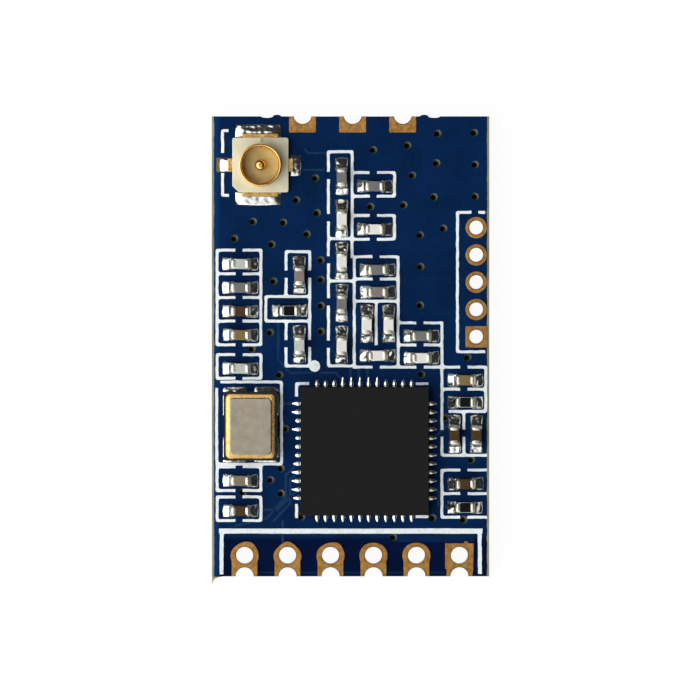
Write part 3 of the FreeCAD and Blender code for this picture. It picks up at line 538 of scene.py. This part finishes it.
def add_drop(bm, x, y, turn, length, width, tail, height):
    """A lead's toe of solder: a round bead against the package and a narrower tail along the pad."""
    along, across = 14, 10
    place = placed(x, y, TOP, turn)
    centre, bead, low = width * 0.42, width * 0.95, 0.035
    rows = []
    for i in range(along + 1):
        v = i / along
        end = (1 - v ** 5) ** 0.5
        swell = max(1 - ((v * length - centre) / bead) ** 2, 0)
        half = tail / 2 * end + (width - tail) / 2 * swell
        rise = low * end + (height - low) * swell
        row = []
        for j in range(across + 1):
            angle = math.pi * (j / across - 0.5)
            row.append(bm.verts.new(place @ Vector((v * length, half * math.sin(angle), rise * math.cos(angle)))))
        rows.append(row)
    add_grid(bm, rows)


def add_cap(bm, place, inner, outer, half, height):
    """An end cap with the rounded end and corners that dipping leaves."""
    along, across = 10, 12
    rows = []
    for i in range(along + 1):
        tilt = math.pi / 2 * max(i - 1, 0) / (along - 1)
        row = []
        for j in range(across + 1):
            angle = math.pi * (j / across - 0.5)
            side = math.copysign(abs(math.sin(angle)) ** 0.5, angle)
            reach = (outer - inner) * (1 - 0.25 * abs(side) ** 3)
            x = inner + reach * (0.0 if i == 0 else 0.45 + 0.55 * math.sin(tilt))
            crown = height * (0.15 + 0.85 * math.cos(tilt) ** 0.8) * (1 - abs(side) ** 9) ** 0.35
            level = TOP + 0.005 + crown - (0.02 if i == 0 else 0.0)
            row.append(bm.verts.new(place @ Vector((x, side * half, max(level, TOP)))))
        rows.append(row)
    add_grid(bm, rows)


def add_ribbon(bm, points, width, material):
    """A low strip along a bent line, with sloping sides: mask over a copper trace."""
    height, level, slope = 0.008, TOP - 0.002, 0.03
    reach = width / 2
    line = [Vector(p) for p in points]
    sections = []
    for i, p in enumerate(line):
        before = (p - line[i - 1]).normalized() if i else (line[1] - p).normalized()
        after = (line[i + 1] - p).normalized() if i < len(line) - 1 else before
        along = (before + after).normalized()
        side = Vector((-along.y, along.x)) / max(0.4, along.dot(after))
        offsets = [(-reach - slope, 0), (-reach, height), (reach, height), (reach + slope, 0)]
        sections.append([bm.verts.new((p.x + side.x * o, p.y + side.y * o, level + z)) for o, z in offsets])
    add_grid(bm, sections, material)
    for section in (sections[0], sections[-1]):
        bm.faces.new(section).material_index = material


# Board

VIAS = [
    (-1.66, 7.81), (-2.55, 6.79), (-1.59, 6.19), (-2.06, 5.21), (-4.56, 5.79), (-3.15, 5.75), (-5.43, 5.0),
    (-3.69, 4.73), (-1.41, 4.0), (-1.4, 3.09), (-1.4, 1.88), (-1.4, 0.68), (-3.61, 3.02), (-3.77, 0.63),
    (-4.62, -0.13), (-3.33, -1.34), (1.03, 9.12), (2.62, 9.33), (4.02, 9.88), (5.72, 9.92), (3.97, 8.51),
    (5.76, 8.44), (2.84, 7.94), (3.85, 6.93), (5.76, 6.95), (0.9, 6.49), (2.44, 6.56), (4.29, 5.47),
    (3.21, 5.16), (3.23, 3.69), (3.21, 1.9), (3.27, -1.31), (-3.06, -3.85), (-3.27, -5.69), (-3.75, -6.23),
    (-5.05, -6.81), (-3.26, -6.86), (-2.32, -7.94), (5.42, -0.52), (4.37, -3.34), (5.59, -5.29), (3.79, -8.0),
    (5.23, -8.08), (1.97, -8.9),
]
VIA_RADIUS = 0.1

# The dip of the mask round a via, and how far the dip's rim is aside of the bore
HALO_RADIUS = 0.18
VIA_ASIDE_X, VIA_ASIDE_Y = 0.025, 0.0175

# What is left of two break-off tabs: each a small bump with a dip beside it, away from the middle
TAB_X = 3.42
TAB_BUMP = (0.19, 0.075)
TAB_DIP = (0.28, -0.07)

# The snapped sliver at the lower left corner, from its tip to the edge
SLIVER = [(-HALF_WIDTH, -11.08), (-6.39, -10.9), (-6.28, -10.79), (-6.13, -10.73), (-5.93, -HALF_LENGTH)]


def half_oval(x, half_width, height):
    turns = [math.pi * i / 8 for i in range(9)]
    return [(x + half_width * math.cos(a), HALF_LENGTH + height * math.sin(a)) for a in turns]


def tab_mark(side):
    """Points of one tab mark on the top edge, from right to left."""
    points = half_oval(TAB_X + TAB_BUMP[0] + TAB_DIP[0], *TAB_DIP) + half_oval(TAB_X, *TAB_BUMP)[1:]
    return points if side > 0 else [(-x, y) for x, y in points][::-1]


def top_edge_dip():
    """How far below its centre's level, in degrees, a top half hole meets the edge."""
    return math.degrees(math.asin((TOP_EDGE_HOLES[0][1] - HALF_LENGTH) / EDGE_HOLE_RADIUS))


def board_outline():
    """The routed edge, anticlockwise from the lower right corner, with its half holes and snapped remains."""
    dip = top_edge_dip()
    outline = [(HALF_WIDTH, -HALF_LENGTH), (HALF_WIDTH, HALF_LENGTH)] + tab_mark(1)
    for x, y in TOP_EDGE_HOLES[::-1]:
        outline += arc_points(x, y, EDGE_HOLE_RADIUS + COPPER, -dip, -180 + dip, 24)
    outline += tab_mark(-1) + [(-HALF_WIDTH, HALF_LENGTH)] + SLIVER
    for x, _ in MAIN_HOLES:
        outline += arc_points(x, -HALF_LENGTH, EDGE_HOLE_RADIUS + COPPER, 180, 0, 24)
    return outline


def make_board():
    holes = [circle_points(x, y, MAIN_HOLE_RADIUS + COPPER) for x, y in MAIN_HOLES]
    holes += [circle_points(x, y, SIDE_HOLE_RADIUS + COPPER) for x, y in SIDE_HOLES]
    holes += [circle_points(x + VIA_ASIDE_X, y + VIA_ASIDE_Y, HALO_RADIUS, 24) for x, y in VIAS]
    bm = bmesh.new()
    add_plate(bm, [board_outline()] + holes, 0.0, TOP, 0.012)
    finish_piece("board_with_mask", bm, [BOARD], ["circuit_board"])


def make_vias():
    """On both faces the mask dips into each via, down to its plugged bore, which isn't quite in the middle. The
    bore's near-black colour is painted shade deep in the hole, added to the real shade of its depth.
    """
    # Radius, how much of the shift aside is left, and depth
    dip = [(HALO_RADIUS, 1.0, 0.0), (HALO_RADIUS - 0.015, 1.0, 0.01), (VIA_RADIUS + 0.01, 0.0, 0.08)]
    bore = [(VIA_RADIUS + 0.01, 0.0, 0.08), (VIA_RADIUS, 0.0, 0.13), (VIA_RADIUS - 0.01, 0.0, 0.3)]
    bm = bmesh.new()
    for x, y in VIAS:
        for flip in (False, True):
            for material, steps in enumerate((dip, bore)):
                loops = []
                for radius, share, depth in steps:
                    circle = circle_points(x + share * VIA_ASIDE_X, y + share * VIA_ASIDE_Y, radius, 24)
                    loops.append(level_loop(circle, depth if flip else TOP - depth))
                add_lofted(bm, loops, close_last=material == 1, material=material)
    bmesh.ops.recalc_face_normals(bm, faces=bm.faces)
    finish_piece("vias", bm, [HALO_MASK, VIA_BORE_PAINTED_SHADE], [])


# Copper that shows faintly through the mask: the width of each trace and its points
TRACES = [
    # Edges of the antenna line between the socket and the middle column
    (0.06, [(-2.15, 9.22), (-1.98, 9.0), (-1.2, 9.0)]),
    (0.06, [(-2.32, 8.21), (-1.2, 8.21)]),
    # Left of the middle column, down to the chip
    (0.07, [(-3.35, 1.1), (-3.35, -0.6), (-2.8, -1.22), (-1.8, -1.22)]),
    (0.07, [(-1.45, -1.22), (-0.7, -1.22), (-0.4, -1.5), (-0.4, -1.72)]),
    (0.07, [(0.0, -1.0), (0.0, -1.72)]),
    (0.07, [(0.4, -1.0), (0.4, -1.72)]),
    (0.07, [(0.8, -1.05), (0.8, -1.72)]),
    # From the chip's left side to the crystal and the lower left
    (0.07, [(-2.75, -2.65), (-3.1, -2.65), (-3.35, -2.4)]),
    (0.07, [(-2.6, -5.6), (-3.0, -6.0), (-3.0, -7.0), (-3.9, -8.0), (-5.4, -8.35)]),
    (0.07, [(-2.6, -6.0), (-2.8, -6.2), (-2.8, -7.3), (-3.6, -8.15)]),
    (0.07, [(-2.6, -6.8), (-3.4, -7.6), (-4.2, -7.6)]),
    # From the chip's right side
    (0.07, [(3.95, -4.2), (4.6, -3.6), (5.0, -3.2)]),
    (0.07, [(3.95, -6.6), (4.1, -6.75), (4.1, -7.4), (4.5, -7.45)]),
    # Down to the second contact
    (0.08, [(-3.15, -8.1), (-3.15, -9.1)]),
]

# Broad copper from the via to the last contact, and thin lines along the bottom edge
FAINT_TRACES = [
    (0.3, [(2.15, -8.93), (5.75, -8.93)]),
    (0.05, [(-4.3, -10.52), (-3.55, -10.52)]),
    (0.05, [(-2.3, -10.52), (-1.55, -10.52)]),
    (0.05, [(-0.3, -10.52), (0.45, -10.52)]),
    (0.05, [(1.7, -10.52), (2.45, -10.52)]),
    (0.05, [(3.7, -10.52), (4.4, -10.52)]),
]


def make_traces():
    bm = bmesh.new()
    for material, traces in enumerate((TRACES, FAINT_TRACES)):
        for width, points in traces:
            add_ribbon(bm, points, width, material)
    bmesh.ops.recalc_face_normals(bm, faces=bm.faces)
    finish_piece("masked_traces", bm, [TRACE_MASK, BROAD_MASK], [])


def upright_edges(bm):
    return [e for e in bm.edges if abs((e.verts[0].co - e.verts[1].co).normalized().z) > 0.9]


def shortest_side(edge):
    """Of the walls that meet at an upright edge, the length of the shorter one."""
    return min(face.calc_area() / edge.calc_length() for face in edge.link_faces)


def make_legend():
    """The printed frames with rounded corners and ends, and slightly wavy edges."""
    longest, cut_every = 0.25, 0.12
    waves_per_mm, stray_by = 4, 0.022
    bm = bmesh.new()
    bm.from_mesh(frame["nodes"]["silkscreen_legend"].data)
    bmesh.ops.scale(bm, vec=Vector((1 / MM,) * 3), verts=bm.verts)
    bmesh.ops.remove_doubles(bm, verts=bm.verts, dist=1e-4)
    bmesh.ops.dissolve_limit(bm, angle_limit=0.01, verts=bm.verts, edges=bm.edges)
    round_edges(bm, [e for e in upright_edges(bm) if shortest_side(e) > 0.3], 0.1, 4)
    round_edges(bm, [e for e in upright_edges(bm) if e.calc_face_angle(0.0) > math.radians(60)], 0.055, 3)
    for edge in [e for e in bm.edges if e.calc_length() > longest]:
        bmesh.ops.subdivide_edges(bm, edges=[edge], cuts=int(edge.calc_length() / cut_every))
    for vert in bm.verts:
        x, y = vert.co.x * waves_per_mm, vert.co.y * waves_per_mm
        vert.co.x += noise.noise(Vector((x, y, 0.3))) * stray_by
        vert.co.y += noise.noise(Vector((x, y, 9.7))) * stray_by
    finish_piece("printed_legend", bm, [INK], ["silkscreen_legend"])


# Contacts

# How the heads of the first lands stray from a circle: angle, width in degrees and height of each swelling
HEAD_SWELLINGS = {
    0: [(125, 32, -0.055), (62, 18, 0.035)],
    1: [(135, 28, -0.07), (45, 28, -0.07), (90, 12, 0.01)],
    2: [(112, 40, -0.065), (55, 16, 0.045)],
    3: [(90, 45, -0.055)],
    4: [(90, 45, -0.055)],
}

# The lower and the upper face of the lands above and below the board
LAND_LEVELS = ((TOP, TOP + COPPER), (0.0, COPPER))


def head_outline(x, y, radius, start, swellings):
    """Points of a land's head, anticlockwise from the right hand end of its tail."""
    steps = 48
    points = []
    for i in range(steps + 1):
        angle = -start + (180 + 2 * start) * i / steps
        swollen = radius + sum(height * math.exp(-((angle - at) / width) ** 2) for at, width, height in swellings)
        points.append((x + swollen * math.cos(math.radians(angle)), y + swollen * math.sin(math.radians(angle))))
    return points


def keyhole(x, y, square, swellings=()):
    """Outline of a land round a hole, with its tail cut by the half hole in the edge."""
    tail, edge = 0.6, -HALF_LENGTH
    outline = [(x - tail, edge)] + arc_points(x, edge, EDGE_HOLE_RADIUS, 180, 0, 20) + [(x + tail, edge)]
    if square:
        half, low, top = 0.665, y - 0.62, y + 0.57
        stub = [(x + 0.42, top), (x + 0.36, top + 0.1), (x + 0.24, top + 0.1), (x + 0.19, top)]
        outline += [(x + half - 0.02, low), (x + half, top)] + stub
        return outline + [(x - half, top), (x - half, low), (x - tail, low)]
    head_radius = 0.655
    return outline + head_outline(x, y, head_radius, math.degrees(math.acos(tail / head_radius)), swellings)


def castellation(x, y):
    """Outline of a land on the top edge, round a half hole whose centre is beyond the edge."""
    half, depth, corner = 0.625, 0.75, 0.06
    edge = HALF_LENGTH
    dip = top_edge_dip()
    outline = [(x + half, edge)] + arc_points(x, y, EDGE_HOLE_RADIUS, -dip, -180 + dip, 20) + [(x - half, edge)]
    outline += arc_points(x - half + corner, edge - depth + corner, corner, 180, 270, 5)
    outline += arc_points(x + half - corner, edge - depth + corner, corner, 270, 360, 5)
    return outline


def lands_on_both_faces(outlines):
    bm = bmesh.new()
    for z0, z1 in LAND_LEVELS:
        add_plate(bm, outlines, z0, z1, 0.01)
    return bm


def add_barrel(bm, x, y, radius, start=0.0, sweep=360.0):
    """The plating of a hole, with its outer face tight in the board."""
    outer, high = radius + COPPER + 0.001, TOP + COPPER
    profile = [(radius, high), (radius, 0.0), (outer, 0.0), (outer, high), (radius, high)]
    add_turned(bm, x, y, profile, 48, start, sweep)


def make_main_contacts():
    last = len(MAIN_HOLES) - 1
    outlines = [keyhole(x, y, i == last, HEAD_SWELLINGS.get(i, ())) for i, (x, y) in enumerate(MAIN_HOLES)]
    bm = lands_on_both_faces(outlines + [circle_points(x, y, MAIN_HOLE_RADIUS) for x, y in MAIN_HOLES])
    for x, y in MAIN_HOLES:
        add_barrel(bm, x, y, MAIN_HOLE_RADIUS)
        add_barrel(bm, x, -HALF_LENGTH, EDGE_HOLE_RADIUS, 0.0, 180.0)
    bmesh.ops.recalc_face_normals(bm, faces=bm.faces)
    finish_piece("main_row_plating", bm, [PAD_GOLD], ["main_row_contacts"])


def make_side_contacts():
    half = 0.5
    outlines = [circle_points(x, y, half) for x, y in SIDE_HOLES[:-1]]
    outlines.append(rounded_rectangle(*SIDE_HOLES[-1], 2 * half, 2 * half, 0.06))
    bm = lands_on_both_faces(outlines + [circle_points(x, y, SIDE_HOLE_RADIUS) for x, y in SIDE_HOLES])
    for x, y in SIDE_HOLES:
        add_barrel(bm, x, y, SIDE_HOLE_RADIUS)
    bmesh.ops.recalc_face_normals(bm, faces=bm.faces)
    finish_piece("side_row_plating", bm, [PAD_GOLD], ["side_row_contacts"])


def make_top_contacts():
    dip = top_edge_dip()
    bm = lands_on_both_faces([castellation(x, y) for x, y in TOP_EDGE_HOLES])
    for x, y in TOP_EDGE_HOLES:
        add_barrel(bm, x, y, EDGE_HOLE_RADIUS, 180 + dip, 180 - 2 * dip)
    bmesh.ops.recalc_face_normals(bm, faces=bm.faces)
    finish_piece("top_edge_plating", bm, [PAD_GOLD], ["top_edge_contacts"])


LANDS = []


def add_land(x, y, turn, near, far, half):
    """Note a land that shows as a thin gold rim round its solder."""
    LANDS.append((x, y, turn, near, far, half))


def make_lands():
    bm = bmesh.new()
    for x, y, turn, near, far, half in LANDS:
        land = soft_box((near, -half, TOP - 0.01), (far, half, TOP + 0.012), 0.004, 1)
        add_part(bm, land, placed(x, y, 0, turn))
    finish_piece("part_lands", bm, [LAND], [])


# Transceiver chip

CHIP_LEAD_PITCH = 0.4
CHIP_LEAD_WIDTH = 0.2

# How far the solder runs out in front of each lead, for the four sides of the chip
LONGEST, LONG, MEDIUM, SHORT = 0.48, 0.42, 0.35, 0.27
CHIP_TOES = {
    0: [LONG] * 12,
    90: [MEDIUM] * 4 + [LONGEST] * 5 + [MEDIUM] * 3,
    180: [LONG, LONG, SHORT, LONG, SHORT, SHORT, SHORT, MEDIUM, LONG, LONG, LONG, MEDIUM],
    270: [MEDIUM] * 12,
}


def make_chip():
    low, high = box_mm("transceiver_chip_body")
    body = soft_box(low, high, 0.025, 2)
    finish_piece("chip_body", body, [MOULD], ["transceiver_chip_body", "transceiver_chip_heat_pad"])
    centre = (low + high) / 2
    edge = (high.x - low.x) / 2
    half = CHIP_LEAD_WIDTH / 2
    leads, solder = bmesh.new(), bmesh.new()
    for turn, toes in CHIP_TOES.items():
        place = placed(centre.x, centre.y, 0, turn)
        for i, toe in enumerate(toes):
            across = CHIP_LEAD_PITCH * (i - (len(toes) - 1) / 2)
            lead = soft_box((edge - 0.3, across - half, TOP), (edge + 0.01, across + half, TOP + 0.2), 0.015, 1)
            add_part(leads, lead, place)
            start = place @ Vector((edge, across, 0))
            width = CHIP_LEAD_WIDTH * rng.uniform(1.05, 1.18)
            add_drop(solder, start.x, start.y, turn, toe, width, 0.13, rng.uniform(0.065, 0.08))
    finish_piece("chip_leads", leads, [TIN], ["transceiver_chip_leads"])
    finish_piece("chip_solder_toes", solder, [SOLDER], ["transceiver_chip_solder"])


# Crystal

def make_crystal():
    """Tray, seam ring and lid, each set in from the one below."""
    low, high = box_mm("crystal_base")
    x, y, _ = (low + high) / 2
    bm = bmesh.new()
    outline = rounded_rectangle(x, y, high.x - low.x, high.y - low.y, 0.12)
    add_lofted(bm, [level_loop(outline, z) for z in (low.z, high.z)], True, True)
    finish_piece("crystal_tray", bm, [TRAY], ["crystal_base", "crystal_quartz_blank"])
    low, high = box_mm("crystal_seam_ring")
    crown = high.z
    worn_edge = [(0.0, crown - 0.07), (0.02, crown - 0.045), (0.05, crown - 0.012)]
    steps = [(0.0, low.z)] + worn_edge + [(0.18, crown), (0.3, crown)]
    bm = bmesh.new()
    add_lofted(bm, stepped_loops(x, y, high.x - low.x, high.y - low.y, 0.22, 0.05, steps))
    finish_piece("crystal_seam", bm, [SEAM], ["crystal_seam_ring"])
    low, high = box_mm("crystal_lid")
    top = high.z
    steps = [(-0.05, crown - 0.01), (-0.045, top - 0.035), (-0.03, top - 0.012), (0.0, top), (0.05, top)]
    bm = bmesh.new()
    add_lofted(bm, stepped_loops(x, y, high.x - low.x, high.y - low.y, 0.17, 0.03, steps), close_last=True)
    finish_piece("crystal_cover", bm, [LID], ["crystal_lid"])


def make_crystal_solder():
    low, high = box_mm("crystal_base")
    bm = bmesh.new()
    for x in (low.x + 0.52, high.x - 0.52):
        add_joint(bm, x, high.y, 90, 1.1, 0.23, 0.16, 0.7, 0.02, hollow=1.1, toe=0.04, lump=0.05, grid=16)
        add_joint(bm, x, low.y, 270, 1.1, 0.1, 0.09, 0.86, 0.02, hollow=1.0, toe=0.03, lump=0.03, grid=16)
        for turn, far in ((90, 1.49), (270, 1.35)):
            add_land(x, (high.y + low.y) / 2, turn, 1.0, far, 0.54)
    width = 0.95
    core = width * 0.8
    for y in (low.y + 0.62, high.y - 0.62):
        add_joint(bm, high.x, y, 0, width, 0.07, 0.08, core, hollow=0.8, toe=0.03, lump=0.03, grid=16)
        add_joint(bm, low.x, y, 180, width, 0.04, 0.05, core, hollow=0.8, toe=0.02, lump=0.02, grid=16)
    finish_piece("crystal_joints", bm, [SOLDER], ["crystal_solder", "crystal_terminals"])


# Antenna socket

RING_FOOT_RADIUS = 0.98
RING_BORE_RADIUS = 0.845


def make_socket_block():
    """The block with one corner cut off and a small lug, and the plastic inside the ring, coloured with painted
    reflection of the gold walls and painted shade.
    """
    low, high = box_mm("antenna_socket_insulator")
    x, y = mount_xy("antenna_plug_ring")
    cut, corner = 0.3, 0.1
    outline = arc_points(high.x - corner, high.y - corner, corner, 0, 90, 4)
    outline += arc_points(low.x + corner, high.y - corner, corner, 90, 180, 4)
    outline += [(low.x, low.y + cut), (low.x + cut, low.y)]
    outline += arc_points(high.x - corner, low.y + corner, corner, 270, 360, 4)
    bm = bmesh.new()
    add_plate(bm, [outline, circle_points(x, y, RING_FOOT_RADIUS, 64)], TOP, high.z, 0.025)
    lug = soft_box((x - 0.08, high.y - 0.2, high.z - 0.03), (x + 0.08, high.y - 0.03, high.z + 0.05), 0.03)
    add_part(bm, lug)
    # The floor inside the ring takes the second material, whose colour holds painted gold reflection and painted
    # shade.
    painted_well_floor = [circle_points(x, y, RING_BORE_RADIUS + 0.005, 64), circle_points(x, y, 0.25, 32)]
    add_plate(bm, painted_well_floor, TOP, high.z, 0.012, 1)
    finish_piece("socket_block", bm, [CREAM, RING_FLOOR_PAINTED_REFLECTION_AND_SHADE], ["antenna_socket_insulator"])


def make_socket_shell():
    """The turned ring, with a waist under its lip, and three plates that run out under the block."""
    low, high = box_mm("antenna_socket_shell")
    block_low, block_high = box_mm("antenna_socket_insulator")
    x, y = mount_xy("antenna_plug_ring")
    foot, top = TOP + 0.1, high.z
    waist = [(0.95, top - 0.72), (0.93, top - 0.58), (0.955, top - 0.5), (0.99, top - 0.43)]
    lip = [(1.0, top - 0.36), (1.0, top - 0.06), (0.992, top - 0.03), (0.975, top - 0.008), (0.95, top)]
    mouth = [(0.92, top), (0.895, top - 0.015), (0.87, top - 0.045), (0.85, top - 0.1)]
    bore = [(RING_BORE_RADIUS, top - 0.2), (RING_BORE_RADIUS, foot)]
    bm = bmesh.new()
    add_turned(bm, x, y, [(RING_FOOT_RADIUS, foot)] + waist + lip + mouth + bore, 96)
    bottom, plate = TOP + 0.005, TOP + 0.12
    tab, lead, under = 0.83, 0.31, 0.3
    for near, far in (
        ((x - tab, block_high.y - under), (x + tab, high.y)),
        ((x - tab, low.y), (x + tab, block_low.y + under)),
        ((low.x, y - lead), (block_low.x + under, y + lead)),
    ):
        add_part(bm, soft_box((*near, bottom), (*far, plate), 0.025))
    bmesh.ops.recalc_face_normals(bm, faces=bm.faces)
    finish_piece("socket_shell", bm, [SOCKET_GOLD], ["antenna_socket_shell"])


def make_socket_pin():
    """The domed pin, and the strip that comes out at the block's right side."""
    _, high = box_mm("antenna_socket_contact")
    x, y = mount_xy("antenna_signal_pin")
    radius = mount_radius("antenna_signal_pin")
    dome_height = 0.14
    turns = [math.pi / 2 * i / 8 for i in range(9)]
    dome = [
        (radius * (0.35 + 0.65 * math.cos(a)), high.z - dome_height + dome_height * math.sin(a)) for a in turns
    ]
    bm = bmesh.new()
    add_turned(bm, x, y, [(radius, TOP + 0.2)] + dome + [(0.0, high.z)], 48)
    add_part(bm, soft_box((high.x - 0.5, y - 0.3, TOP + 0.005), (high.x, y + 0.3, TOP + 0.08), 0.02))
    bmesh.ops.recalc_face_normals(bm, faces=bm.faces)
    finish_piece("socket_pin", bm, [SOCKET_GOLD], ["antenna_socket_contact"])


def make_socket_solder():
    shell_low, shell_high = box_mm("antenna_socket_shell")
    _, pin_high = box_mm("antenna_socket_contact")
    x, y = mount_xy("antenna_plug_ring")
    bm = bmesh.new()
    tabs_x = x - 0.1
    for turn, edge in ((90, shell_high.y), (270, shell_low.y)):
        add_joint(bm, tabs_x, edge, turn, 2.12, 0.43, 0.13, 1.5, 0.19, hollow=1.3, toe=0.05, lump=0.026, grid=30)
        add_land(tabs_x, edge, turn, -0.16, 0.4, 1.02)
    add_joint(bm, shell_low.x + 0.02, y, 180, 0.66, 0.4, 0.12, 0.4, hollow=1.0, toe=0.05, lump=0.03, grid=16)
    add_land(shell_low.x, y, 180, 0.0, 0.52, 0.33)
    x, y = pin_high.x, y - 0.02
    add_joint(bm, x - 0.02, y, 0, 0.98, 0.38, 0.12, 0.5, 0.12, hollow=1.2, toe=0.05, lump=0.04, grid=20)
    add_land(x, y, 0, -0.1, 0.33, 0.45)
    finish_piece("socket_joints", bm, [SOLDER], ["antenna_socket_solder"])


# Chip parts

PART_LENGTH = 1.0
PART_WIDTH = 0.5
PART_HEIGHT = 0.5
RESISTOR_HEIGHT = 0.35
SOLDER_REACH = 0.3
SOLDER_BESIDE = 0.07
SLOTS = {row["node"]: row["material_slot"] for row in frame["record"]["subparts"]}

# The white parts right of this line are brighter than those left of it
BRIGHT_PARTS_X = -2.0


def part_material(slot, x):
    if slot == "inductor_white":
        return BRIGHT_WHITE if x > BRIGHT_PARTS_X else WHITE
    if slot == "resistor_alumina":
        return ALUMINA
    name = slot + "_ceramic"
    if name not in bpy.data.materials:
        ceramic_material(name, *CAPACITOR_COLOURS[slot])
    return bpy.data.materials[name]


def make_chip_part(node, caps, solder, coats):
    """A part's own body, and its share of the end caps, the solder and the resistors' black coats."""
    low, high = box_mm(node)
    centre = (low + high) / 2
    along_y = high.y - low.y > high.x - low.x
    length = max(high.y - low.y, high.x - low.x)
    is_resistor = node.startswith("resistor")
    height = RESISTOR_HEIGHT if is_resistor else PART_HEIGHT
    top = TOP + height
    half = PART_WIDTH / 2
    turn = 90 if along_y else 0
    place = placed(centre.x, centre.y, 0, turn) @ Matrix.Rotation(math.radians(rng.uniform(-1.2, 1.2)), 4, "Z")
    slim, hidden = 0.016, 0.05
    reach = length / 2 + hidden
    body = soft_box((-reach, -half + slim, TOP + 0.02), (reach, half - slim, top - slim), 0.03, 2)
    bmesh.ops.transform(body, matrix=place, verts=body.verts)
    slot = SLOTS[node]
    finish_piece(f"{node}_ceramic", body, [part_material(slot, centre.x)], [node])
    if is_resistor:
        coat_end, coat_side = length / 2 - 0.01, half - 0.03
        coat = soft_box((-coat_end, -coat_side, top - 0.05), (coat_end, coat_side, top - 0.005), 0.012, 2)
        add_part(coats, coat, place)
    for side in (-1, 1):
        add_cap(caps, place, side * (length / 2 - 0.025), side * PART_LENGTH / 2, half, height)
        end = place @ Vector((side * PART_LENGTH / 2, 0, 0))
        lean = turn if side > 0 else turn + 180
        climb = rng.uniform(0.42, 0.55) * height
        if is_resistor:
            climb = height * rng.uniform(0.8, 1.0)
        reach = SOLDER_REACH * rng.uniform(1.08, 1.2)
        if along_y and side > 0:
            reach += 0.1
        width = PART_WIDTH + 2 * SOLDER_BESIDE
        core, back = PART_WIDTH, 0.2
        add_joint(
            solder, end.x, end.y, lean, width, reach, climb, core, back, hollow=1.3, toe=0.05, lump=0.05, grid=14
        )
        add_land(end.x, end.y, lean, -0.18, reach - 0.02, width / 2 - 0.03)


def make_chip_parts():
    caps, solder, coats = bmesh.new(), bmesh.new(), bmesh.new()
    # The resistors' coats have a node too, but it is no part
    names = sorted(n for n in frame["nodes"] if n.startswith(("capacitor_", "inductor_", "resistor_0")))
    for node in names:
        make_chip_part(node, caps, solder, coats)
    bmesh.ops.recalc_face_normals(caps, faces=caps.faces)
    finish_piece("part_end_caps", caps, [TIN], ["chip_part_end_caps"])
    finish_piece("part_solder", solder, [SOLDER], ["chip_part_solder"])
    finish_piece("part_coats", coats, [COAT], ["resistor_coats"])


# Studio

def make_floor():
    """A wide floor, set a little below the board so that their faces don't meet."""
    half, drop = 3.0, 0.00002
    mesh = bpy.data.meshes.new("floor")
    mesh.from_pydata([(-half, -half, 0), (half, -half, 0), (half, half, 0), (-half, half, 0)], [], [(0, 1, 2, 3)])
    mesh.materials.append(floor_material())
    floor = bpy.data.objects.new("floor", mesh)
    floor.location.z = -drop
    bpy.context.scene.collection.objects.link(floor)


def add_lamp(name, direction, distance, size, power):
    """A soft square lamp that looks at the board's middle; distances in millimetres."""
    data = bpy.data.lights.new(name, "AREA")
    data.shape = "SQUARE"
    data.size = size * MM
    data.energy = power
    lamp = bpy.data.objects.new(name, data)
    way = Vector(direction).normalized()
    lamp.location = way * distance * MM
    lamp.rotation_mode = "QUATERNION"
    lamp.rotation_quaternion = way.to_track_quat("Z", "Y")
    bpy.context.scene.collection.objects.link(lamp)


# How bright the sky is, from straight behind this direction, 0, to straight along it, 1
SKY_DIRECTION = (-0.76, -0.6, 0.28)
SKY_LEVELS = [
    (0.0, 0.02), (0.5, 0.03), (0.58, 0.1), (0.64, 0.3), (0.69, 0.65), (0.75, 1.0), (0.84, 1.3), (1.0, 3.0),
]


def make_lights():
    """One soft lamp, and a sky that is bright low on the left and in front, where the metal shows it."""
    add_lamp("key", (-0.5, 0.15, 1.0), distance=260, size=200, power=0.23)
    world = bpy.data.worlds.new("world")
    world.use_nodes = True
    tree = world.node_tree
    towards = tree.nodes.new("ShaderNodeVectorMath")
    towards.operation = "DOT_PRODUCT"
    towards.inputs[1].default_value = Vector(SKY_DIRECTION).normalized()
    tree.links.new(tree.nodes.new("ShaderNodeTexCoord").outputs["Generated"], towards.inputs[0])
    along = tree.nodes.new("ShaderNodeMapRange")
    along.inputs["From Min"].default_value = -1.0
    tree.links.new(towards.outputs["Value"], along.inputs["Value"])
    sky = tree.nodes.new("ShaderNodeValToRGB")
    set_stops(sky, [(position, (level * 0.98, level, level, 1.0)) for position, level in SKY_LEVELS])
    tree.links.new(along.outputs["Result"], sky.inputs["Fac"])
    tree.links.new(sky.outputs["Color"], tree.nodes["Background"].inputs["Color"])
    bpy.context.scene.world = world


def make_camera():
    """Far away, a little aside of the picture's middle and turned back to it."""
    data = bpy.data.cameras.new("camera")
    data.sensor_width = SENSOR_WIDTH
    data.lens = SENSOR_WIDTH * CAMERA_DISTANCE / FRAME_WIDTH
    data.clip_start = 0.001
    data.clip_end = 10.0
    camera = bpy.data.objects.new("camera", data)
    aside_x, aside_y = CAMERA_ASIDE
    camera.location = ((CAMERA_X + aside_x) * MM, (CAMERA_Y + aside_y) * MM, (TOP + CAMERA_DISTANCE) * MM)
    camera.rotation_euler = (-math.atan(aside_y / CAMERA_DISTANCE), math.atan(aside_x / CAMERA_DISTANCE), 0.0)
    bpy.context.scene.collection.objects.link(camera)
    bpy.context.scene.camera = camera


make_camera()
make_board()
make_vias()
make_traces()
make_legend()
make_main_contacts()
make_side_contacts()
make_top_contacts()
make_chip()
make_crystal()
make_crystal_solder()
make_socket_block()
make_socket_shell()
make_socket_pin()
make_socket_solder()
make_chip_parts()
make_lands()
make_floor()
make_lights()
bpy.context.scene.view_settings.view_transform = "Standard"
